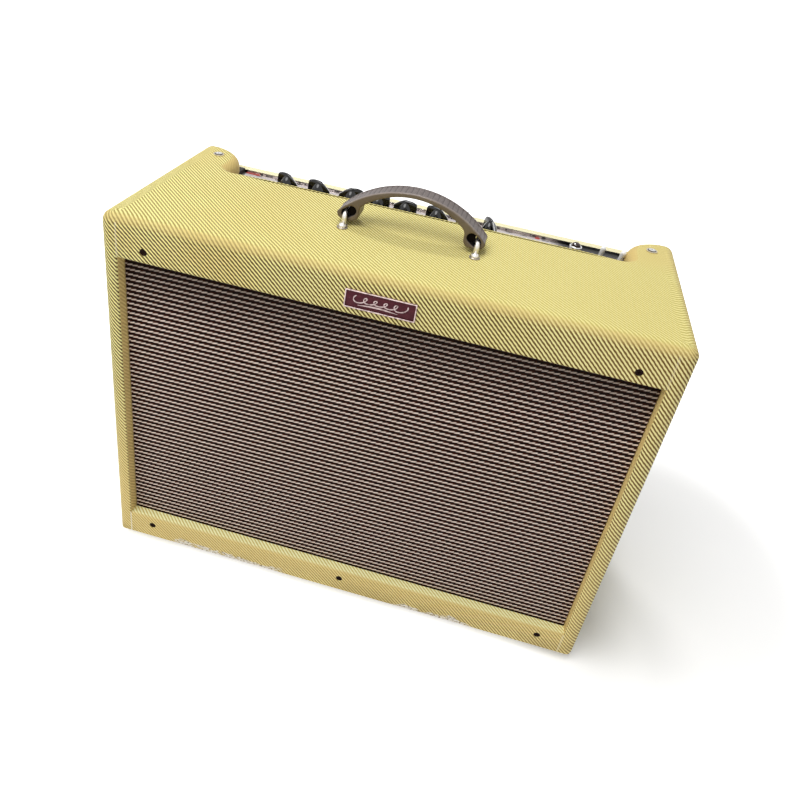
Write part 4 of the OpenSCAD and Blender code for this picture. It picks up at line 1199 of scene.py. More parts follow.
@dataclass(frozen=True)
class Coating(Finish):
    """Paint, moulded plastic, rubber or another plain surface with grain, dust and rubbed spots."""

    colour: Colour = grey(30)
    rubbed: Colour = grey(70)
    roughness: float = 0.35
    grain: float = 1.2
    depth: float = 0.08
    coat: float = 0.0
    dust: float = 0.15
    gloss: float = 0.5

    def build(self, shader: Shader) -> bpy.types.Material:
        """Grained surface with dust on its upper faces."""
        cloud = shader.cloud(0.09, 3.0)
        fine = shader.cloud(self.grain, 3.0, 0.6)
        colour = shader.blend(cloud.ramp(0.42, 0.72) * 0.45 + fine * 0.2, self.colour, self.rubbed)
        settled = shader.faces(2, "Normal").ramp(0.4, 1.0) * fine.ramp(0.45, 0.8) * self.dust
        colour = shader.blend(settled, colour, paint(170, 164, 150))
        rough = cloud * 0.14 + fine * 0.1 + (self.roughness - 0.08) + settled * 0.3
        normal = shader.bump(fine, self.depth, 0.6)
        return shader.finish(colour, rough, 0.0, normal, self.coat, Specular_IOR_Level=self.gloss)


@dataclass(frozen=True)
class Paper(Finish):
    """Pressed paper, cloth or felt of a loudspeaker, turned round an axis along Y."""

    colour: Colour = grey(46)
    light: Colour = grey(84)
    ribs: float = 0.0
    weave: float = 0.0

    def build(self, shader: Shader) -> bpy.types.Material:
        """Fibrous surface with ring ribs or an open weave."""
        x, y, z = shader.axes()
        radius = (x * x + (z - SPEAKER_Z) * (z - SPEAKER_Z)).root()
        fibre = shader.noise((x * 0.8, y * 0.8, z * 0.8), 1.0, 4.0, 0.7, 0.4)
        relief = fibre
        if self.ribs:
            relief = fibre * 0.3 + ((radius / self.ribs).wave() * 0.5 + 0.5) * 0.7
        if self.weave:
            relief = ((x / self.weave).wave() * (z / self.weave).wave() * 0.5 + 0.5) * 0.7 + fibre * 0.3
        colour = shader.blend(relief.ramp(0.3, 0.8), self.colour, self.light)
        return shader.finish(colour, 0.86, normal=shader.bump(relief, 0.5, 0.7))


@dataclass(frozen=True)
class Clear(Finish):
    """Glass or tinted clear plastic."""

    colour: Colour = grey(240)
    roughness: float = 0.03
    passes: float = 1.0

    def build(self, shader: Shader) -> bpy.types.Material:
        """Clear body with faint smears."""
        x, y, z = shader.axes()
        smear = shader.noise((x * 0.12, y * 0.12, z * 0.05), 1.0, 3.0)
        colour = shader.blend(smear.ramp(0.5, 0.8) * 0.12, self.colour, grey(200))
        return shader.finish(
            colour, smear.ramp(0.4, 0.8) * 0.08 + self.roughness, Transmission_Weight=self.passes, IOR=1.5
        )


@dataclass(frozen=True)
class Enamel(Finish):
    """Maroon enamel field of the badge, chipped and silvered at its raised parts."""

    field: Colour = paint(70, 22, 32)

    def build(self, shader: Shader) -> bpy.types.Material:
        """Brushed maroon with bright scratches."""
        x, _, z = shader.axes()
        cloud = shader.noise((x * 0.18, z * 0.3, 0.0), 1.0, 3.0)
        streak = shader.noise((x * 0.35, z * 4.0, 0.0), 1.0, 3.0)
        chip = shader.noise((x * 0.9, z * 0.9, 3.0), 1.0, 3.0, 0.65).ramp(0.68, 0.74)
        colour = shader.blend(cloud.ramp(0.35, 0.7) * 0.5 + streak * 0.25, self.field, paint(98, 44, 52))
        colour = shader.blend(chip, colour, grey(200))
        return shader.finish(
            colour, 0.4 + cloud * 0.2, chip, shader.bump(streak, 0.05, 0.5), Specular_IOR_Level=0.15)


@dataclass(frozen=True)
class Plate(Finish):
    """Bright plated control strip with hairlines, clouding and fingerprints."""

    def build(self, shader: Shader) -> bpy.types.Material:
        """Silvered plate, near black at its right end as painted shade and dark reflection."""
        x, y, z = shader.axes()
        hair = shader.noise((x * 0.04, y * 9.0, 0.0), 1.0, 2.0)
        cloud = shader.noise((x * 0.05, y * 0.11, 0.0), 1.0, 3.0)
        pits = shader.cells((x, y, z), 0.45).ramp(0.14, 0.05)
        colour = shader.blend(cloud.ramp(0.4, 0.7) * 0.4 + hair * 0.14, paint(214, 206, 204), paint(166, 154, 152))
        colour = shader.blend(pits * 0.5, colour, grey(96))
        # Painted shade and dark reflection: the plate turns near black at its right end, behind the switches.
        colour = shader.blend(x.ramp(150.0, 172.0) * 0.94, colour, paint(18, 15, 12))
        return shader.finish(colour, 0.16 + cloud * 0.16 + hair * 0.05, 1.0, shader.bump(hair, 0.02, 0.4))


@dataclass(frozen=True)
class Board(Finish):
    """Laminate board with printed tracks."""

    def build(self, shader: Shader) -> bpy.types.Material:
        """Tracks and pads on a tan laminate."""
        x, y, _ = shader.axes()
        lane = ((y / 5.0 + (x / 22.0).floor() * 0.37).fract() - 0.5)
        track = abs(lane).ramp(0.2, 0.14) * shader.noise(((x / 22.0).floor(), (y / 5.0).floor(), 0.0), 3.7).over(0.45)
        pad = shader.cells((x, y, 0.0), 0.16).ramp(0.22, 0.16)
        weave = (x * 1.1).wave() * (y * 1.1).wave() * 0.5 + 0.5
        colour = shader.blend(weave * 0.3, paint(172, 140, 84), paint(150, 116, 62))
        colour = shader.blend(track * 0.8, colour, paint(120, 92, 44))
        colour = shader.blend(pad, colour, grey(190))
        return shader.finish(colour, 0.45, 0.0, shader.bump(track + pad, 0.05, 0.6), 0.1)


@dataclass(frozen=True)
class Sleeves(Finish):
    """Capacitors and resistors, each with its own colour along the board."""

    def build(self, shader: Shader) -> bpy.types.Material:
        """Coloured sleeves with end bands."""
        x, y, z = shader.axes()
        pick = shader.noise(((x / 24.0).floor() * 7.3, (y / 40.0).floor(), 0.0), 1.3, 0.0)
        colour = shader.ramp(pick, [
            (0.32, paint(214, 126, 44)), (0.45, paint(48, 74, 128)), (0.52, paint(196, 164, 70)),
            (0.60, paint(46, 40, 38)), (0.68, paint(152, 50, 40)),
        ])
        band = ((x / 6.0).fract() - 0.5).ramp(0.34, 0.4)
        colour = shader.blend(band * 0.45, colour, grey(225))
        fine = shader.noise((x, y, z), 1.4, 2.0)
        return shader.finish(colour, 0.34 + fine * 0.12, 0.0, shader.bump(fine, 0.05, 0.5), 0.2)


@dataclass(frozen=True)
class Windings(Finish):
    """Lacquered copper wire wound on a former along Y."""

    colour: Colour = paint(176, 96, 52)

    def build(self, shader: Shader) -> bpy.types.Material:
        """Wire turns side by side."""
        _, y, _ = shader.axes()
        turn = (y / 0.5).wave() * 0.5 + 0.5
        colour = shader.blend(turn * 0.6, paint(96, 44, 22), self.colour)
        return shader.finish(colour, 0.35, 0.7, shader.bump(turn, 0.2, 0.8))


@dataclass(frozen=True)
class Laminations(Finish):
    """Stacked steel sheets of a transformer core under black lacquer."""

    def build(self, shader: Shader) -> bpy.types.Material:
        """Fine lines between the sheets."""
        x, y, z = shader.axes()
        sheet = (z / 0.9).wave() * 0.5 + 0.5
        fine = shader.noise((x, y, z), 0.9, 3.0)
        rust = shader.noise((x, y, z), 0.07, 3.0).ramp(0.58, 0.72)
        colour = shader.blend(sheet * 0.4 + fine * 0.3, grey(24), grey(70))
        colour = shader.blend(rust * 0.3, colour, paint(110, 66, 40))
        return shader.finish(colour, 0.42 + fine * 0.15, 0.3, shader.bump(sheet * 0.7 + fine * 0.3, 0.25, 0.8))


class Palette:
    """Every finish of the amplifier, by the part that wears it."""

    front_tweed = Tweed("tweed_front_top", Wrap.FRONT_AND_TOP)
    side_tweed = Tweed("tweed_side", Wrap.SIDE)
    sill_tweed = Tweed("tweed_sill", Wrap.SILL)
    under_tweed = Tweed("tweed_underside", Wrap.UNDERSIDE)
    back_tweed = Tweed("tweed_back", Wrap.BACK)
    pine = Pine("pine_across")
    pine_up = Pine("pine_upright", along=2)
    grille = GrilleCloth("oxblood_grille")
    leather = Leather("handle_leather")
    nickel = Metal("nickel_plate", grey(214), grey(128), 0.16, shading=0.7)
    chrome = Metal("chrome_plate", grey(226), grey(150), 0.09, tarnish=0.2, shading=1.0)
    screw_cup = Metal("screw_cup", grey(230), grey(150), 0.2, shading=0.5, ring=3.7)
    strap = Metal("strap_steel", paint(232, 228, 222), grey(160), 0.36, tarnish=0.25, shading=0.9)
    # The switch levers are chrome but wear a bright white paint that stands for their bright reflection: painted
    # reflection.
    bat = Coating("toggle_white_painted_reflection", grey(252), grey(236), 0.2, 1.0, 0.01, 0.8, 0.0, 1.0)
    badge_silver = Metal("badge_silver", paint(198, 178, 176), paint(104, 78, 76), 0.42, tarnish=0.9, shading=0.4)
    zinc = Metal("zinc_steel", grey(176), grey(132), 0.34, spangle=0.12)
    spring = Metal("spring_steel", grey(168), grey(96), 0.26)
    black_steel = Coating("black_oxide", paint(26, 12, 8), paint(48, 28, 20), 0.5, 1.4, 0.05, dust=0.0, gloss=0.06)
    slot_black = Coating("slot_black", paint(14, 10, 8), paint(24, 18, 15), 0.7, 1.4, 0.05, dust=0.0, gloss=0.05)
    # The cups are darker than the bars and domes as painted shade round each dome.
    cup_steel = Metal("cup_steel", paint(168, 158, 144), grey(96), 0.34, tarnish=0.4, shading=0.9)
    plate = Plate("control_plate")
    knob = Coating("knob_black", grey(5), grey(10), 0.1, 0.9, 0.01, 0.8, 0.02, 0.2)
    white_line = Coating("pointer_white", grey(226), grey(196), 0.5, 1.5, 0.02)
    black_print = Coating("print_and_shade_black", grey(26), grey(44), 0.5, 1.5, 0.01, dust=0.05)
    red_print = Coating("print_red", paint(170, 42, 34), paint(140, 40, 34), 0.5, 1.5, 0.01, dust=0.05)
    black_plastic = Coating("black_plastic", grey(24), grey(46), 0.38, 1.3, 0.04)
    rubber = Coating("black_rubber", grey(32), grey(60), 0.72, 1.8, 0.15, dust=0.3)
    basket = Coating("basket_paint", grey(74), grey(108), 0.42, 1.1, 0.08, dust=0.2)
    ferrite = Coating("ferrite", grey(46), grey(76), 0.55, 1.5, 0.12, dust=0.25)
    ceramic = Coating("socket_ceramic", paint(222, 212, 192), paint(196, 182, 160), 0.4, 1.2, 0.06)
    lacquer = Laminations("core_lacquer")
    bell = Coating("bell_black", grey(26), grey(54), 0.3, 1.0, 0.05, 0.15, 0.2)
    board = Board("circuit_laminate")
    sleeves = Sleeves("component_sleeves")
    copper = Windings("coil_copper")
    cone = Paper("cone_paper", grey(40), grey(70), ribs=9.0)
    dust_cap = Paper("dust_cap_paper", grey(34), grey(60))
    surround = Paper("surround_paper", grey(36), grey(62), ribs=4.0)
    spider = Paper("spider_cloth", paint(150, 112, 52), paint(204, 162, 88), weave=1.6)
    felt = Paper("gasket_felt", paint(84, 72, 60), paint(126, 110, 92))
    jewel = Clear("jewel_ruby", paint(40, 5, 9), 0.03, 0.25)
    glass = Clear("valve_glass", grey(246), 0.015)
    electrode = Metal("valve_electrode", grey(112), grey(60), 0.36)
    getter = Metal("getter_silver", grey(150), grey(40), 0.1)
    enamel = Enamel("badge_enamel")


def worn(finish: Finish, *nodes: str) -> None:
    """Gives CAD nodes that keep their shape one finish."""
    material = finish.material()
    for node in nodes:
        worn_by = frame["nodes"][node].data.materials
        for index in range(len(worn_by)):
            worn_by[index] = material
        LOG.info("%s wears %s", node, material.name)


# ---- Sub-assemblies ----


def refined(
    node: str, finish: Finish, body: str, slot: str, edge: float, segments: int = 2, name: str = ""
) -> Piece:
    """Stands a copy of a CAD node, with its hard edges eased, in the node's place.

    Args:
        node: the CAD node.
        finish: what the copy wears.
        body: body that it rides on.
        slot: material slot of the record.
        edge: width of the eased edges.
        segments: faces across an eased edge.
        name: the piece's name, if it differs from the node's.

    Returns:
        The piece.
    """
    piece = Piece.cad_copy(name or node + "_dressed", node)
    piece.soften(edge, segments)
    return piece.dress(finish, body, slot, [node])


def near(first: float, second: float, reach: float = 0.06) -> bool:
    """Whether two lengths are the same within a small reach."""
    return abs(first - second) < reach


@dataclass
class Cabinet:
    """Box of boards under tweed, with its seams, frayed spots, cleats and feet."""

    opening_round: float = 2.6
    sill_round: float = 4.0
    notch_round: float = 5.0
    ear_round: float = 13.0
    notch_front: float = 50.0
    notch_wall: float = 240.0
    notch_fillet: float = 12.0
    ear_radius: float = 46.0
    ear_end: float = 98.12
    stride: float = 19.0

    def build(self) -> None:
        """Dresses every board."""
        self.rail("tweed_front_rail", "front_top_rail", Palette.front_tweed, OPENING_HIGH, self.opening_round)
        self.top()
        self.sides()
        self.rail("tweed_sill", "front_bottom_rail", Palette.sill_tweed, OPENING_LOW, self.sill_round)
        bottom = Piece.cad_copy("tweed_bottom", "bottom_board")
        bottom.dress(Palette.under_tweed, "cabinet", "tweed", ["bottom_board"])
        for node in ("upper_back_panel", "lower_back_panel"):
            refined(node, Palette.back_tweed, "cabinet", "tweed", 1.6, 3)
        worn(Palette.pine, "baffle_board")
        worn(Palette.pine_up, "back_cleats")
        refined("feet", Palette.rubber, "cabinet", "rubber", 1.4, 3)
        refined("wood_screws", Palette.nickel, "cabinet", "nickel", 0.35)
        refined("front_screws", Palette.black_steel, "cabinet", "black_steel", 0.35)
        refined("chassis_screws", Palette.screw_cup, "cabinet", "nickel", 0.4)

    @staticmethod
    def rail(name: str, node: str, finish: Finish, edge: float, width: float) -> None:
        """Front rail, rounded along the grille.

        Args:
            name: the piece's name.
            node: the CAD node.
            finish: its covering.
            edge: height of its edge at the grille.
            width: width of that edge's rounding.
        """
        piece = Piece.cad_copy(name, node)
        piece.pick_edges(lambda a, b: near(a.z, edge) and near(b.z, edge)
                         and near(a.y, FRONT_Y) and near(b.y, FRONT_Y))
        piece.round_picked(width, 4)
        piece.dress(finish, "cabinet", "tweed", [node])

    def recess_path(self) -> list[tuple[Vector, Vector, float]]:
        """Plan of the control recess from left to right: point, way into the recess, and roll radius."""
        wall, ear, fillet = self.notch_wall, self.ear_radius, self.notch_fillet
        half = [
            (Vector((step * self.stride, self.notch_front)), Vector((0, 1)), self.notch_round) for step in range(11)
        ]
        half += [
            (Vector((self.stride * (10 + step / 2), self.notch_front)), Vector((0, 1)), self.notch_round + step * 0.8)
            for step in range(1, 5)
        ]
        hub = Vector((wall - fillet, self.notch_front + fillet))
        for step in range(1, 21):
            angle = math.radians(-90 + 90 * step / 20)
            away = Vector((math.cos(angle), math.sin(angle)))
            half.append((hub + away * fillet, -away, self.notch_round + 3.2 + step * 0.24))
        half += [(Vector((wall, hub.y + step * 2.0)), Vector((-1, 0)), self.ear_round) for step in range(1, 11)]
        hub = Vector((wall + ear, REAR_Y - ear))
        for step in range(1, 67):
            angle = math.radians(180 - (180 - self.ear_end) * step / 66)
            away = Vector((math.cos(angle), math.sin(angle)))
            half.append((hub + away * ear, away, self.ear_round))
        mirrored = [(Vector((-at.x, at.y)), Vector((-way.x, way.y)), radius) for at, way, radius in half[1:]]
        return mirrored[::-1] + half

    @staticmethod
    def under_rear(y: float, height: float) -> float:
        """Holds a height under the roll along the cabinet's rear top edge."""
        past = min(max(y - (REAR_Y - EDGE_R), 0.0), EDGE_R)
        return min(height, TOP_Z - EDGE_R + math.sqrt(EDGE_R ** 2 - past ** 2))

    def top(self) -> None:
        """Top board, with its cloth rolled over the edge of the control recess."""
        path = self.recess_path()

        def drawn_in(p: Vector) -> Vector:
            """Moves a point on the recess's rim in to where the roll starts."""
            if p.z < TOP_Z - 12.0 or p.y < self.notch_front - 0.1:
                return p
            spot = Vector((p.x, p.y))
            at, way, radius = min(path, key=lambda entry: (entry[0] - spot).length)
            if (at - spot).length > 0.75:
                return p
            spot = spot - way * radius
            return Vector((spot.x, spot.y, self.under_rear(spot.y, TOP_Z)))

        def place(across: float, along: float) -> Point:
            """Point of the rolled cloth, from under the board to its top."""
            at, way, radius = path[round(along * (len(path) - 1))]
            step = round(across * 10)
            turn = math.pi / 2 * min(max(step - 1, 0), 8) / 8
            inward = radius * (1 - math.cos(turn)) + (0.8 if step == 10 else 0.0)
            spot = at - way * inward
            height = TOP_Z - radius * (1 - math.sin(turn)) - (0.05 if step == 10 else 0.0)
            if step == 0:
                height = UNDER_Z + 0.3
            reach = min(abs(spot.x), INNER_X) * (1 if spot.x > 0 else -1)
            return reach, spot.y, self.under_rear(spot.y, height)

        board = Piece.cad_copy("tweed_top", "top_board")
        board.mapped(drawn_in)
        board.dress(Palette.front_tweed, "cabinet", "tweed", ["top_board"])
        lip = Piece.grid("tweed_recess_lip", 10, len(path) - 1, place)
        lip.outward()
        if sum(face.normal.z for face in lip.object.data.polygons) < 0:
            lip.object.data.flip_normals()
        lip.dress(Palette.front_tweed, "cabinet", "tweed", smooth=60.0)

    def sides(self) -> None:
        """Side boards, rounded along the opening."""
        for name, hand in (("side_left", -1), ("side_right", 1)):
            piece = Piece.cad_copy(f"tweed_{name}", name)
            for height in (OPENING_LOW, OPENING_HIGH):
                piece.pick(lambda middle, normal: True)
                bpy.ops.mesh.bisect(plane_co=(0, 0, height * MM), plane_no=(0, 0, 1))
                piece.done()
            edge = hand * INNER_X
            piece.pick_edges(lambda a, b: near(a.x, edge) and near(b.x, edge) and near(a.y, FRONT_Y)
                             and near(b.y, FRONT_Y) and OPENING_LOW - 0.1 < (a.z + b.z) / 2 < OPENING_HIGH + 0.1)
            piece.round_picked(self.opening_round, 4)
            piece.dress(Palette.side_tweed, "cabinet", "tweed", [name])


@dataclass
class Grille:
    """Stretched cloth of thick cords in the front opening."""

    pitch: float = 6.0
    samples: int = 8
    crest: float = 0.9

    def build(self) -> None:
        """Weaves the ridged sheet in its CAD node's place."""
        low, high = sheet_box("grille_cloth")
        rows = round((high.z - low.z) / self.pitch * self.samples)

        def place(across: float, along: float) -> Point:
            """Point of the ridged cloth."""
            x = low.x + (high.x - low.x) * across
            z = low.z + (high.z - low.z) * along
            ridge = 0.5 - 0.5 * math.cos(math.tau * z / self.pitch)
            return x, high.y - 0.3 - self.crest * math.sqrt(max(ridge, 0.0)), z

        piece = Piece.grid("grille_cords", 60, rows, place)
        piece.dress(Palette.grille, "cabinet", "grille_cloth", ["grille_cloth"], 180.0)


@dataclass
class Badge:
    """Small enamelled plate with a worn bright rim and a plain ornament."""

    rim: float = 1.3
    proud: float = 2.4

    def build(self) -> None:
        """Builds field, rim and ornament."""
        low, high = sheet_box("badge")
        back = FRONT_Y
        rng = random.Random(5)
        field = Piece.box(
            "badge_field", (low.x + 0.8, back - 1.2, low.z + 0.8), (high.x - 0.8, back - 0.1, high.z - 0.8)
        ).soften(0.2)
        field.dress(Palette.enamel, "cabinet", "badge_enamel", ["badge"])
        rim = Piece.box("badge_rim", (low.x, back - self.proud, low.z), (high.x, back - 0.05, high.z))
        rim.pick(lambda middle, normal: normal.y < -0.9).inset(self.rim)
        bpy.ops.mesh.delete(type="FACE")
        rim.done().pick(lambda middle, normal: normal.y > 0.9)
        bpy.ops.mesh.delete(type="FACE")
        rim.done()
        rim.thicken(1.1).soften(0.35)
        rim.modify("REMESH", mode="VOXEL", voxel_size=0.32 * MM)
        rim.mapped(lambda p: Vector((
            min(max(p.x + rng.uniform(-0.05, 0.05), low.x), high.x), p.y + rng.uniform(0.0, 0.08),
            min(max(p.z + rng.uniform(-0.05, 0.05), low.z), high.z))))
        rim.dress(Palette.badge_silver, "cabinet", "badge_enamel", (), 60.0)
        self.ornament((low.x + high.x) / 2, back - 1.2, (low.z + high.z) / 2)

    def ornament(self, x: float, y: float, z: float) -> None:
        """Raised flourish of slanted loops over a swelling underline."""
        loops = []
        for step in range(161):
            share = step / 160
            turn = math.tau * 5.0 * share
            height = (4.0 - 1.4 * math.sin(math.pi * share)) * math.cos(turn) + 0.8
            loops.append((x - 26.0 + 51.0 * share - 3.6 * math.sin(turn) + 0.4 * height, y - 0.3, z + height))
        line = [
            (x - 22.0 + 40.0 * step / 24, y - 0.3, z - 5.6 + 1.6 * math.sin(math.pi * step / 24))
            for step in range(25)
        ]
        flourish = tube("badge_ornament", loops, 0.62, [0.75 + 0.5 * abs(math.sin(s * 0.39)) for s in range(161)])
        flourish.join([tube("underline", line, 0.7, [0.4 + math.sin(math.pi * s / 24) for s in range(25)])])
        flourish.dress(Palette.badge_silver, "cabinet", "badge_enamel")


def tube(name: str, points: Sequence[Point], radius: float, swell: Sequence[float] = ()) -> Piece:
    """Round bar along points, given in millimetres.

    Args:
        name: the piece's name.
        points: its centre line.
        radius: its radius.
        swell: factor of the radius at each point.

    Returns:
        The piece, with closed ends.
    """
    Piece.clear()
    curve = bpy.data.curves.new(name, "CURVE")
    curve.dimensions = "3D"
    line = curve.splines.new("POLY")
    line.points.add(len(points) - 1)
    for index, point in enumerate(points):
        line.points[index].co = (*(c * MM for c in point), 1.0)
        line.points[index].radius = swell[index] if swell else 1.0
    curve.bevel_depth = radius * MM
    curve.bevel_resolution = 2
    curve.use_fill_caps = True
    made = bpy.data.objects.new(name, curve)
    bpy.context.scene.collection.objects.link(made)
    made.select_set(True)
    bpy.context.view_layer.objects.active = made
    bpy.ops.object.convert(target="MESH")
    return Piece(bpy.context.object, name)


@dataclass
class Handle:
    """Moulded leather-look handle with its steel straps."""

    voxel: float = 0.8
    rib_depth: float = 0.45
    rim_depth: float = 0.55
    bar: float = 2.9
    cup: float = 4.6

    def build(self) -> None:
        """Builds grip and straps."""
        self.grip()
        self.straps()

    def grip(self) -> None:
        """Softens the CAD grip, adds the ribs between its raised rims, and puts dark fillers through its slots as
        painted shade.
        """
        low, high = sheet_box("handle")
        middle = (low + high) / 2
        piece = Piece.cad_copy("handle_grip", "handle")
        piece.modify("REMESH", mode="VOXEL", voxel_size=self.voxel * MM)
        piece.modify("SMOOTH", factor=0.6, iterations=8)
        radius = HANDLE_ARCH
        centre_z = high.z - radius

        def dent(p: Vector) -> Vector:
            """Sinks the grip's crown between its rims, but for the ribs."""
            from_x, from_z = p.x - middle.x, p.z - centre_z
            reach = math.hypot(from_x, from_z)
            side = abs(p.y - middle.y)
            top = min(max((reach - (radius - 2.4)) / 1.6, 0.0), 1.0)
            if top <= 0.0:
                return p
            inner = min(max((9.8 - side) / 1.2, 0.0), 1.0)
            angle = math.atan2(from_x, from_z) * radius
            rib = abs(math.sin(math.pi * angle / HANDLE_RIB)) ** 0.5
            sink = (self.rim_depth + self.rib_depth * (1.0 - rib)) * inner * top
            factor = (reach - sink) / reach
            return Vector((middle.x + from_x * factor, p.y, centre_z + from_z * factor))

        piece.mapped(dent)
        piece.dress(Palette.leather, "handle", "handle_leather", ["handle"], 180.0)
        # Dark fillers through the slots stand for the shade inside them: painted shade.
        shade_fillers = [Piece.lathe("bush", [
            (0.01, -9.6), (4.3, -9.4), (4.8, -10.6), (4.9, -9.9), (4.9, 9.9), (4.8, 10.6), (4.3, 9.4), (0.01, 9.6),
        ], (middle.x + hand * 64.4, middle.y, 475.9), Axis.Y, 24) for hand in (-1, 1)]
        Piece.merged("handle_bush", shade_fillers).dress(Palette.slot_black, "handle", "handle_leather", smooth=40.0)

    def straps(self) -> None:
        """Bent bars through the slots, each foot held by a domed screw in a cup."""
        low, high = sheet_box("handle_straps")
        crown = high.z - self.bar * 0.7
        middle = (low.y + high.y) / 2
        bars, cups, screws = [], [], []
        for x, inner in ((low.x + 5.1, low.x + 5.1), (high.x - 3.3, high.x - 4.6)):
            for hand in (-1, 1):
                foot = middle + hand * 21.2
                half = [
                    (15.0, 460.6), (15.6, 463.6), (15.8, 467.2), (15.4, 470.4), (14.2, 472.8), (12.6, crown),
                    (0.0, crown),
                ]
                points = [(inner if height == crown else x, middle + hand * away, height) for away, height in half]
                bars.append(tube("bar", points, self.bar, (1.0, 1.0, 1.0, 0.94, 0.8, 0.69, 0.69)))
                cups.append(Piece.lathe("collar", [
                    (2.4, 0.2), (4.3, 0.0), (4.4, 0.9), (4.0, 1.5), (2.9, 1.7), (2.4, 1.6),
                ], (x, middle + hand * 15.2, TOP_Z), steps=32, closed=True))
                cups.append(Piece.lathe("cup", [
                    (2.2, 0.2), (self.cup + 1.2, 0.0), (self.cup + 1.3, 0.7), (self.cup + 0.9, 1.4), (self.cup, 1.7),
                    (self.cup - 0.4, 1.1), (2.2, 1.0),
                ], (x, foot, TOP_Z), steps=32, closed=True))
                screws.append(Piece.lathe("dome", [
                    (0.01, -14.0), (1.6, -11.0), (1.6, 1.1), (4.0, 1.1), (4.2, 2.0), (3.9, 3.2), (3.1, 4.4),
                    (1.8, 5.2), (0.01, 5.5),
                ], (x, foot, TOP_Z), steps=32))
        for name, parts, finish, nodes in (
            ("strap_cups", cups, Palette.cup_steel, ()), ("strap_bars", bars, Palette.strap, ["handle_straps"]),
            ("strap_domes", screws, Palette.strap, ["strap_screws"]),
        ):
            Piece.merged(name, parts).dress(finish, "cabinet", "nickel", nodes, 60.0)


@dataclass
class Knob:
    """Pointer knob of glossy moulded plastic, with its nose, fin and domed body."""

    tip: float = 15.6
    tail: float = 14.3
    height: float = 18.8
    foot: float = 437.9
    rest: tuple[tuple[str, float], ...] = (
        ("presence", -22.0), ("reverb", -14.0), ("master", 196.0), ("middle", 184.0), ("bass", 172.0),
        ("treble", -20.0), ("drive", -100.0), ("volume", -62.0),
    )

    def half_width(self, s: float) -> float:
        """Half of the fin's width at a place along the pointer."""
        if s > 0:
            return 1.4 + 3.4 * (1.0 - (s / self.tip) ** 1.1)
        return 4.8 - 1.2 * (-s / self.tail) ** 1.6

    def crest(self, s: float) -> float:
        """Height of the fin at a place along the pointer."""
        if s > 1.0:
            return self.height - 9.6 * ((s - 1.0) / (self.tip - 1.0)) ** 1.35
        if s > -4.0:
            return self.height
        return self.height - 2.6 * ((-4.0 - s) / (self.tail - 4.0)) ** 2.0

    def model(self) -> Piece:
        """Knob at the origin, pointing along X."""
        def place(across: float, along: float) -> Point:
            """Point of the fin, from its tip to its tail."""
            share = 0.5 - 0.5 * math.cos(math.pi * along)
            s = self.tip - (self.tip + self.tail) * share
            end = min(1.0, max((1 - share) * share * 40, 0.0)) ** 0.5
            turn = math.pi * across
            flat = abs(math.cos(turn)) ** 0.6 * (1 if math.cos(turn) >= 0 else -1)
            rise = math.sin(turn) ** 0.5
            width = self.half_width(s) * end
            height = 0.4 + (self.crest(s) * (0.3 + 0.7 * end) - 0.4) * rise
            return s, flat * width * (1.0 - 0.34 * height / self.height), height

        fin = Piece.grid("knob", 18, 40, place)
        fin.outward()
        body = Piece.lathe("body", [
            (0.01, 0.0), (9.2, 0.0), (9.55, 0.4), (9.55, 2.4), (9.3, 4.6), (8.7, 7.2), (7.7, 9.8), (6.4, 12.2),
            (4.8, 14.4), (3.2, 15.8), (1.6, 16.4), (0.01, 16.5),
        ], (0, 0, 0), steps=40)
        fin.join([body])
        return fin

    def build(self) -> None:
        """Copies the knob to every spindle, turned as it rests."""
        model = self.model()
        line = Piece.box("line", (4.6, -0.5, 10.9), (15.4, 0.5, 11.35))
        line.active()
        bpy.ops.object.mode_set(mode="EDIT")
        bpy.ops.mesh.select_all(action="SELECT")
        bpy.ops.mesh.subdivide(number_cuts=6)
        line.done()
        line.mapped(lambda p: Vector((p.x, p.y, self.crest(p.x) - 0.35 + (0.5 if p.z > 11.1 else 0.0))))
        for name, degrees in self.rest:
            body = f"knob_{name}"
            at = HINGE_AT[body]
            place = Matrix.Translation(Vector((at.x, at.y, self.foot)) * MM)
            place = place @ Matrix.Rotation(math.radians(degrees), 4, "Z")
            cap = model.copy(f"{body}_cap").moved(place)
            cap.dress(Palette.knob, body, "knob_plastic", [body], 50.0)
            mark = line.copy(f"{body}_line").moved(place)
            mark.dress(Palette.white_line, body, "knob_plastic")
        for used in (model, line):
            bpy.data.objects.remove(used.object)


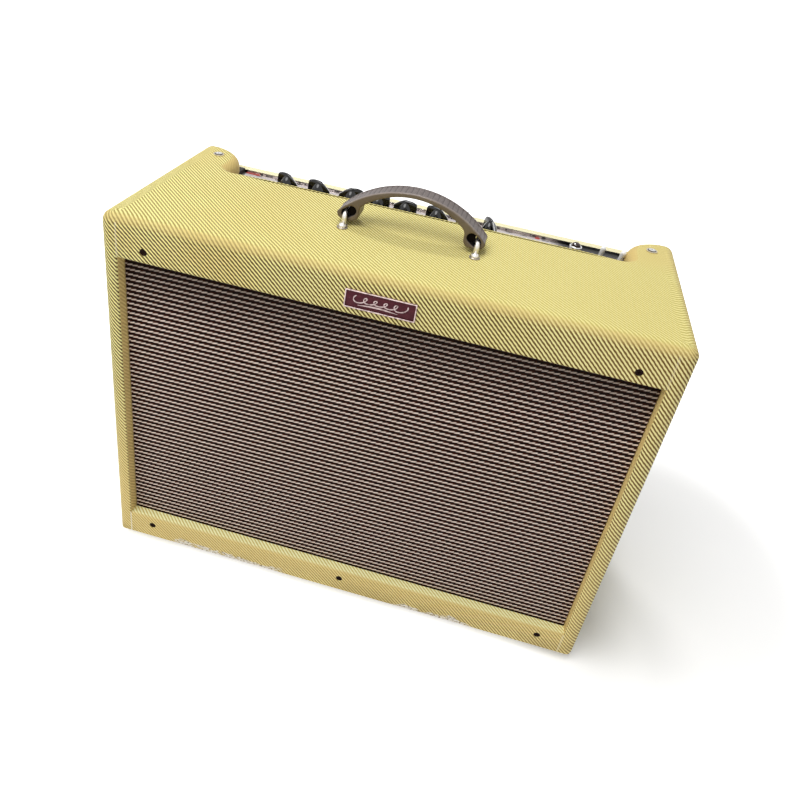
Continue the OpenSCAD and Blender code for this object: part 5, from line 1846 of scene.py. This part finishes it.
@dataclass
class ControlPanel:
    """Bright strip with its printed dials, sockets, buttons, lamp and switches."""

    plate_z: float = PLATE_Z
    dial_radius: float = 17.4
    tick_radius: float = 14.6
    sweep: float = 300.0
    lever: float = 12.0
    rest_tilt: float = 13.0
    print_rise: float = 0.05
    bars: tuple[tuple[str, tuple[tuple[float, float, float, float], ...]], ...] = (
        ("dark", (
            (-243, 110.6, 9, 1.8), (-196, 110.6, 8, 1.8), (103, 110.6, 8, 1.8), (121, 110.6, 8, 1.8),
            (158, 110.6, 8, 1.8), (171, 110.6, 9, 1.8), (-221.0, 109.4, 9.0, 1.6), (148.0, 109.2, 9.0, 1.6),
        )),
        ("red", ((-230.0, 112.6, 19.0, 4.4), (138.0, 111.8, 6.0, 6.0), (183.0, 66.0, 12.0, 3.0))),
        ("dark", (
            # The first bar here is no print but a patch of painted shade behind the switches.
            (215.0, 111.9, 44.0, 6.4), (-217.5, 60.6, 34.0, 1.4), (-40.0, 60.0, 60.0, 1.4),
            (112.0, 60.0, 40.0, 1.4), (-100.0, 61.0, 24.0, 1.4),
        )),
    )

    def build(self) -> None:
        """Dresses the strip and all that stands on it."""
        worn(Palette.plate, "control_panel")
        worn(Palette.zinc, "potentiometers")
        self.print_dials()
        refined("jacks", Palette.black_plastic, "cabinet", "jack_plastic", 0.4)
        refined("panel_switches", Palette.black_plastic, "cabinet", "jack_plastic", 0.3)
        refined("panel_nuts", Palette.chrome, "cabinet", "nickel", 0.35)
        self.lamp()
        for name in ("button_bright", "button_channel"):
            refined(name, Palette.chrome, name, "nickel", 0.6, 3)
        for name, drift in (("toggle_standby", 1.2), ("toggle_power", 2.2)):
            self.toggle(name, drift)
        self.edge_lip()

    def toggle(self, name: str, drift: float) -> None:
        """Bat-shaped lever, leaning back as it rests.

        Args:
            name: the CAD node it stands for.
            drift: how far its head stands to the right, in millimetres.
        """
        bat = Piece.lathe(f"{name}_bat", [
            (0.01, -5.4), (1.2, -5.4), (1.3, 0.0), (2.1, 1.5), (2.4, 8.0), (2.9, 16.0), (3.1, 19.4),
            (2.8, 21.2), (1.8, 22.3), (0.01, 22.7),
        ], (0, 0, 0), steps=28)
        lean = Matrix.Rotation(math.radians(self.rest_tilt), 4, "X")
        sideways = Matrix.Rotation(math.atan2(drift, self.lever), 4, "Y")
        bat.moved(Matrix.Translation(HINGE_AT[name] * MM) @ (lean @ sideways))
        bat.dress(Palette.bat, name, "nickel", [name], 60.0)

    def edge_lip(self) -> None:
        """Upturned rear lip of the strip, black behind the switches as painted shade, with scuffed marks."""
        back = PANEL_Y - 0.1
        lip = Piece.box("plate_lip", (-239.0, back - 0.4, self.plate_z - 0.2), (186.0, back, self.plate_z + 2.3))
        lip.soften(0.15)
        lip.dress(Palette.plate, "cabinet", "chrome_panel")
        rng = random.Random(11)
        marks = []
        for _ in range(70):
            x, width, height = rng.uniform(-226.0, 180.0), rng.uniform(1.5, 6.0), rng.uniform(0.6, 1.6)
            foot = self.plate_z + rng.uniform(0.1, 0.6)
            marks.append(Piece.box("mark", (x, back - 0.46, foot), (x + width, back - 0.38, foot + height)))
        # The black box at the lip's right end is painted shade behind the switches.
        marks.append(Piece.box("mark", (186.0, back - 0.4, self.plate_z - 0.2), (239.0, back, self.plate_z + 2.3)))
        Piece.merged("plate_lip_marks", marks).dress(Palette.black_print, "cabinet", "chrome_panel")

    def lamp(self) -> None:
        """Stepped chrome bezel round a faceted lens."""
        low, high = sheet_box("pilot_bezel")
        top = sheet_box("pilot_jewel")[1].z
        x, y = (low.x + high.x) / 2, (low.y + high.y) / 2
        foot = self.plate_z
        bezel = Piece.lathe("pilot_collar", [
            (4.2, low.z - foot), (6.9, low.z - foot), (6.9, -0.5), (8.5, 0.0), (8.6, 0.8), (8.3, 1.6), (7.7, 2.0),
            (7.4, 7.0), (7.5, 9.6), (7.2, 11.0), (6.6, 11.5), (5.9, 11.3), (5.45, 10.4), (5.35, 8.5), (4.2, 8.3),
        ], (x, y, foot), steps=48, closed=True)
        bezel.dress(Palette.chrome, "cabinet", "nickel", ["pilot_bezel"], 50.0)
        lens = Piece.lathe("pilot_lens", [
            (0.01, 8.4), (5.2, 8.4), (5.3, 11.4), (5.0, 12.9), (4.1, 14.1), (2.7, 14.8),
            (1.3, top - foot - 0.05), (0.01, top - foot),
        ], (x, y, foot), steps=16)
        lens.dress(Palette.jewel, "cabinet", "jewel", ["pilot_jewel"], 5.0)

    def print_dials(self) -> None:
        """Numbers, ticks, plain label bars and a patch of painted shade behind the switches, read from behind the
        amplifier.
        """
        dark, red = [], []
        for name, _ in Knob.rest:
            at = HINGE_AT[f"knob_{name}"]
            hub = Vector((at.x, at.y))
            for number in range(1, 13):
                angle = math.radians(90 + self.sweep / 2 - (number - 1) * self.sweep / 11)
                away = Vector((math.cos(angle), -math.sin(angle)))
                spot = hub + away * self.dial_radius
                dark.append(Piece.text("n", str(number), 2.6, (spot.x, spot.y, self.plate_z), 180.0, self.print_rise))
                start = hub + away * self.tick_radius
                tick = Piece.box("t", (-0.16, 0, self.plate_z), (0.16, 1.1, self.plate_z + self.print_rise))
                direction = math.atan2(-away.x, away.y)
                tick.moved(Matrix.Translation((start.x * MM, start.y * MM, 0)) @ Matrix.Rotation(direction, 4, "Z"))
                dark.append(tick)
            dark.append(self.bar(at.x, 111.0, 14.0, 2.2))
        for ink, bars in self.bars:
            for size in bars:
                (red if ink == "red" else dark).append(self.bar(*size))
        for name, parts, finish in (("print_dark", dark, Palette.black_print), ("print_red", red, Palette.red_print)):
            Piece.merged(f"panel_{name}", parts).dress(finish, "cabinet", "chrome_panel")

    def bar(self, x: float, y: float, width: float, depth: float) -> Piece:
        """Plain printed bar with rounded corners."""
        bar = Piece.box(
            "bar", (x - width / 2, y - depth / 2, self.plate_z),
            (x + width / 2, y + depth / 2, self.plate_z + self.print_rise),
        )
        bar.pick_edges(lambda a, b: near(a.x, b.x) and near(a.y, b.y)).round_picked(depth * 0.3, 2)
        return bar


@dataclass
class Valve:
    """Glass valve that hangs from its socket, with its works inside."""

    x: float
    radius: float
    length: float
    top: float
    y: float = 78.4
    base: float = 0.0

    def build(self, name: str, node: str) -> None:
        """Builds glass, base and electrodes.

        Args:
            name: first part of the pieces' names.
            node: CAD node that the glass stands for.
        """
        r, top, end = self.radius, self.top - self.base, self.top - self.length
        profile = [(r * 0.86, 0.0), (r * 0.98, -2.5), (r, -6.0), (r, end - top + r * 0.9)]
        for step in range(1, 8):
            angle = math.pi / 2 * step / 8
            profile.append((
                r * math.cos(angle) * (1 - 0.02 * step) + 0.02, end - top + r * 0.9 - r * 0.8 * math.sin(angle)
            ))
        profile += [(1.4, end - top + 0.9), (0.02, end - top)]
        glass = Piece.lathe(f"{name}_glass", profile, (self.x, self.y, top), steps=40)
        glass.dress(Palette.glass, "cabinet", "valve_glass", [node])
        works = Piece.box(
            "works", (self.x - r * 0.5, self.y - r * 0.28, end + r * 1.1),
            (self.x + r * 0.5, self.y + r * 0.28, top - 6.0),
        )
        works.pick(lambda middle, normal: abs(normal.x) > 0.9).inset(r * 0.12).extrude()
        works.scale_picked(1.25, 1.0, 0.9, (self.x, self.y, (end + top) / 2)).done()
        works.soften(0.5)
        discs = [
            Piece.rod("mica", (self.x, self.y, height), r * 0.82, 0.5, 32)
            for height in (end + r * 0.95, top - 5.5)
        ]
        rods = [
            Piece.rod("rod", (self.x + dx * r, self.y + dy * r, end + r * 0.8), 0.4, top - end - r * 0.8 - 0.4, 8)
            for dx, dy in ((0.62, 0.0), (-0.62, 0.0), (0.0, 0.42), (0.0, -0.42))
        ]
        Piece.merged(f"{name}_works", [works, *discs, *rods]).dress(Palette.electrode, "cabinet", "valve_glass")
        dome = [(r * 0.9 * math.cos(a), -r * 0.74 * math.sin(a)) for a in (0.35, 0.6, 0.85, 1.1, 1.35, 1.55)]
        flash = Piece.lathe(f"{name}_getter", dome, (self.x, self.y, end + r * 0.88), steps=32)
        flash.thicken(0.15).dress(Palette.getter, "cabinet", "valve_glass")
        if self.base:
            foot = Piece.lathe(f"{name}_base", [
                (0.02, 0.3), (r * 0.9, 0.3), (r * 0.92, -1.0), (r * 0.92, -self.base + 1.0),
                (r * 0.84, -self.base - 0.4), (0.02, -self.base - 0.4),
            ], (self.x, self.y, self.top), steps=40)
            foot.dress(Palette.bell, "cabinet", "valve_glass")


@dataclass
class Electronics:
    """Chassis, transformers, valves, board and reverb tank."""

    def build(self) -> None:
        """Dresses the works at the back."""
        worn(Palette.zinc, "chassis", "reverb_tank")
        worn(Palette.board, "circuit_board")
        worn(Palette.sleeves, "board_components")
        refined("power_transformer", Palette.lacquer, "cabinet", "core_paint", 0.8)
        refined("output_transformer", Palette.lacquer, "cabinet", "core_paint", 0.8)
        refined("valve_sockets", Palette.ceramic, "cabinet", "ceramic", 0.4)
        refined("mains_inlet", Palette.black_plastic, "cabinet", "jack_plastic", 0.5)
        worn(Palette.spring, "reverb_springs")
        for index, x in enumerate((-40.0, 0.0, 40.0), 1):
            Valve(x, 10.5, 48.0, SOCKET_Z).build(f"preamp_valve_{index}", "preamp_valves")
        for index, x in enumerate((90.0, 142.0), 1):
            Valve(x, 18.5, 86.0, SOCKET_Z, base=14.0).build(f"power_valve_{index}", "power_valves")


@dataclass
class Loudspeaker:
    """Twelve-inch loudspeaker behind the baffle."""

    dish: float = 2.9

    def build(self) -> None:
        """Dresses basket, magnet and moving parts."""
        worn(Palette.basket, "speaker_basket")
        refined("speaker_magnet", Palette.ferrite, "cabinet", "ferrite", 1.0)
        refined("speaker_yoke", Palette.zinc, "cabinet", "zinc_steel", 0.8)
        worn(Palette.zinc, "speaker_top_plate")
        refined("speaker_bolts", Palette.nickel, "cabinet", "nickel", 0.3)
        worn(Palette.felt, "speaker_gasket")
        worn(Palette.cone, "speaker_cone")
        worn(Palette.dust_cap, "speaker_dust_cap")
        worn(Palette.surround, "speaker_surround")
        self.centring_disc()
        worn(Palette.copper, "voice_coil")

    def centring_disc(self) -> None:
        """Corrugated disc, dished back at its middle so that the cone clears it at full stroke."""
        low, high = sheet_box("speaker_spider")
        middle = (low + high) / 2

        def dished(p: Vector) -> Vector:
            """Sets a point of the disc back, the more the nearer it is to the middle."""
            reach = math.hypot(p.x - middle.x, p.z - middle.z)
            return Vector((p.x, p.y + self.dish * min(max((62.0 - reach) / 40.0, 0.0), 1.0), p.z))

        disc = Piece.cad_copy("speaker_spider_dished", "speaker_spider").mapped(dished)
        disc.dress(Palette.spider, "cabinet", "spider_cloth", ["speaker_spider"])


# ---- Studio ----


@dataclass
class Studio:
    """Pale floor, soft lamps and the camera."""

    place: Point = (97.18, -737.41, 778.48)
    right: Point = (0.9657, 0.2134, 0.1480)
    up: Point = (-0.2357, 0.4810, 0.8445)
    ahead: Point = (-0.1090, 0.8504, -0.5148)
    focal: float = 731.7
    centre: tuple[float, float] = (398.3, 327.64)
    view_width: float = 800.0
    sensor: float = 36.0
    floor_lift: float = 0.22
    sky: float = 0.40
    lights: tuple[tuple[str, Point, float, float], ...] = (
        ("key", (-0.72, -0.98, 2.35), 1.8, 35.5),
        ("glint", (-0.25, 0.8, 2.2), 0.3, 9.0),
    )

    def build(self) -> None:
        """Sets up everything that isn't the amplifier."""
        self.camera()
        self.floor()
        self.lamps()
        bpy.context.scene.view_settings.view_transform = "Standard"

    def camera(self) -> None:
        """Camera at its measured place."""
        data = bpy.data.cameras.new("studio_camera")
        data.sensor_width = self.sensor
        data.lens = self.focal / self.view_width * self.sensor
        data.shift_x = (self.view_width / 2 - self.centre[0]) / self.view_width
        data.shift_y = (self.centre[1] - self.view_width / 2) / self.view_width
        data.clip_start = 0.01
        camera = bpy.data.objects.new("studio_camera", data)
        bpy.context.scene.collection.objects.link(camera)
        back = -Vector(self.ahead)
        turn = Matrix((self.right, self.up, back)).transposed().to_4x4()
        camera.matrix_world = Matrix.Translation(Vector(self.place) * MM) @ turn
        bpy.context.scene.camera = camera

    def floor(self) -> None:
        """Wide white floor that keeps the shadow, with a glow for camera, metal and glass rays that is painted light:
        least beside the box's right side, more in front, full far away.
        """
        Piece.clear()
        bpy.ops.mesh.primitive_plane_add(size=60.0)
        floor = bpy.context.object
        floor.name = "studio_floor"
        shader = Shader("studio_white")
        x, y, _ = shader.axes()
        # Painted light: the floor's glow grows away from the box's right side and from its middle, so the shadow
        # stays dark only close to the box.
        near_side = ((x - 420.0) * (x - 420.0) + (y - 90.0) * (y - 90.0)).root()
        away = ((x - 60.0) * (x - 60.0) + (y - 40.0) * (y - 40.0)).root()
        close = x.ramp(302.0, 392.0, 0.0, self.floor_lift)
        lift = close + near_side.ramp(170.0, 330.0) * (0.6 - close) + away.ramp(500.0, 950.0, 0.0, 0.7)
        lift = lift.at_most(1.0) * self.seen(shader)
        glow = shader.blend(lift, grey(0), grey(255))
        shader.finish(grey(250), 0.9, Specular_IOR_Level=0.0, Emission_Color=glow, Emission_Strength=1.0)
        floor.data.materials.append(shader.material)

    @staticmethod
    def seen(shader: "Shader") -> Value:
        """One for rays that the viewer, metal or glass sees the background with."""
        path = shader.node("ShaderNodeLightPath").outputs
        rays = [Value(shader, path[name]) for name in ("Is Camera Ray", "Is Glossy Ray", "Is Transmission Ray")]
        return rays[0].at_least(rays[1]).at_least(rays[2])

    def lamps(self) -> None:
        """One large soft key, a small bright one and an even sky."""
        world = bpy.data.worlds.new("studio_sky")
        world.use_nodes = True
        bpy.context.scene.world = world
        tree = world.node_tree
        sky = tree.nodes["Background"]
        sky.inputs["Color"].default_value = (1.0, 1.0, 1.0, 1.0)
        path = tree.nodes.new("ShaderNodeLightPath").outputs
        share = path["Is Camera Ray"]
        for name in ("Is Glossy Ray", "Is Transmission Ray"):
            larger = tree.nodes.new("ShaderNodeMath")
            larger.operation = "MAXIMUM"
            tree.links.new(share, larger.inputs[0])
            tree.links.new(path[name], larger.inputs[1])
            share = larger.outputs[0]
        strength = tree.nodes.new("ShaderNodeMapRange")
        strength.inputs["To Min"].default_value = self.sky
        tree.links.new(share, strength.inputs["Value"])
        tree.links.new(strength.outputs[0], sky.inputs["Strength"])
        for name, at, size, power in self.lights:
            lamp = bpy.data.lights.new(name, "AREA")
            lamp.shape = "DISK"
            lamp.size = size
            lamp.energy = power
            holder = bpy.data.objects.new(name, lamp)
            bpy.context.scene.collection.objects.link(holder)
            holder.location = at
            holder.rotation_euler = (Vector((0, 0, 0.25)) - Vector(at)).to_track_quat("-Z", "Y").to_euler()


def main() -> None:
    """Builds the amplifier, sub-assembly by sub-assembly, and its studio."""
    logging.basicConfig(level=logging.INFO, format="%(name)s: %(message)s")
    for part in (
        Studio(), Cabinet(), Grille(), Badge(), Handle(), Knob(), ControlPanel(), Electronics(), Loudspeaker(),
    ):
        LOG.info("building %s", type(part).__name__)
        part.build()
    Piece.clear()
    bpy.context.view_layer.update()


if __name__ == "__main__":
    main()
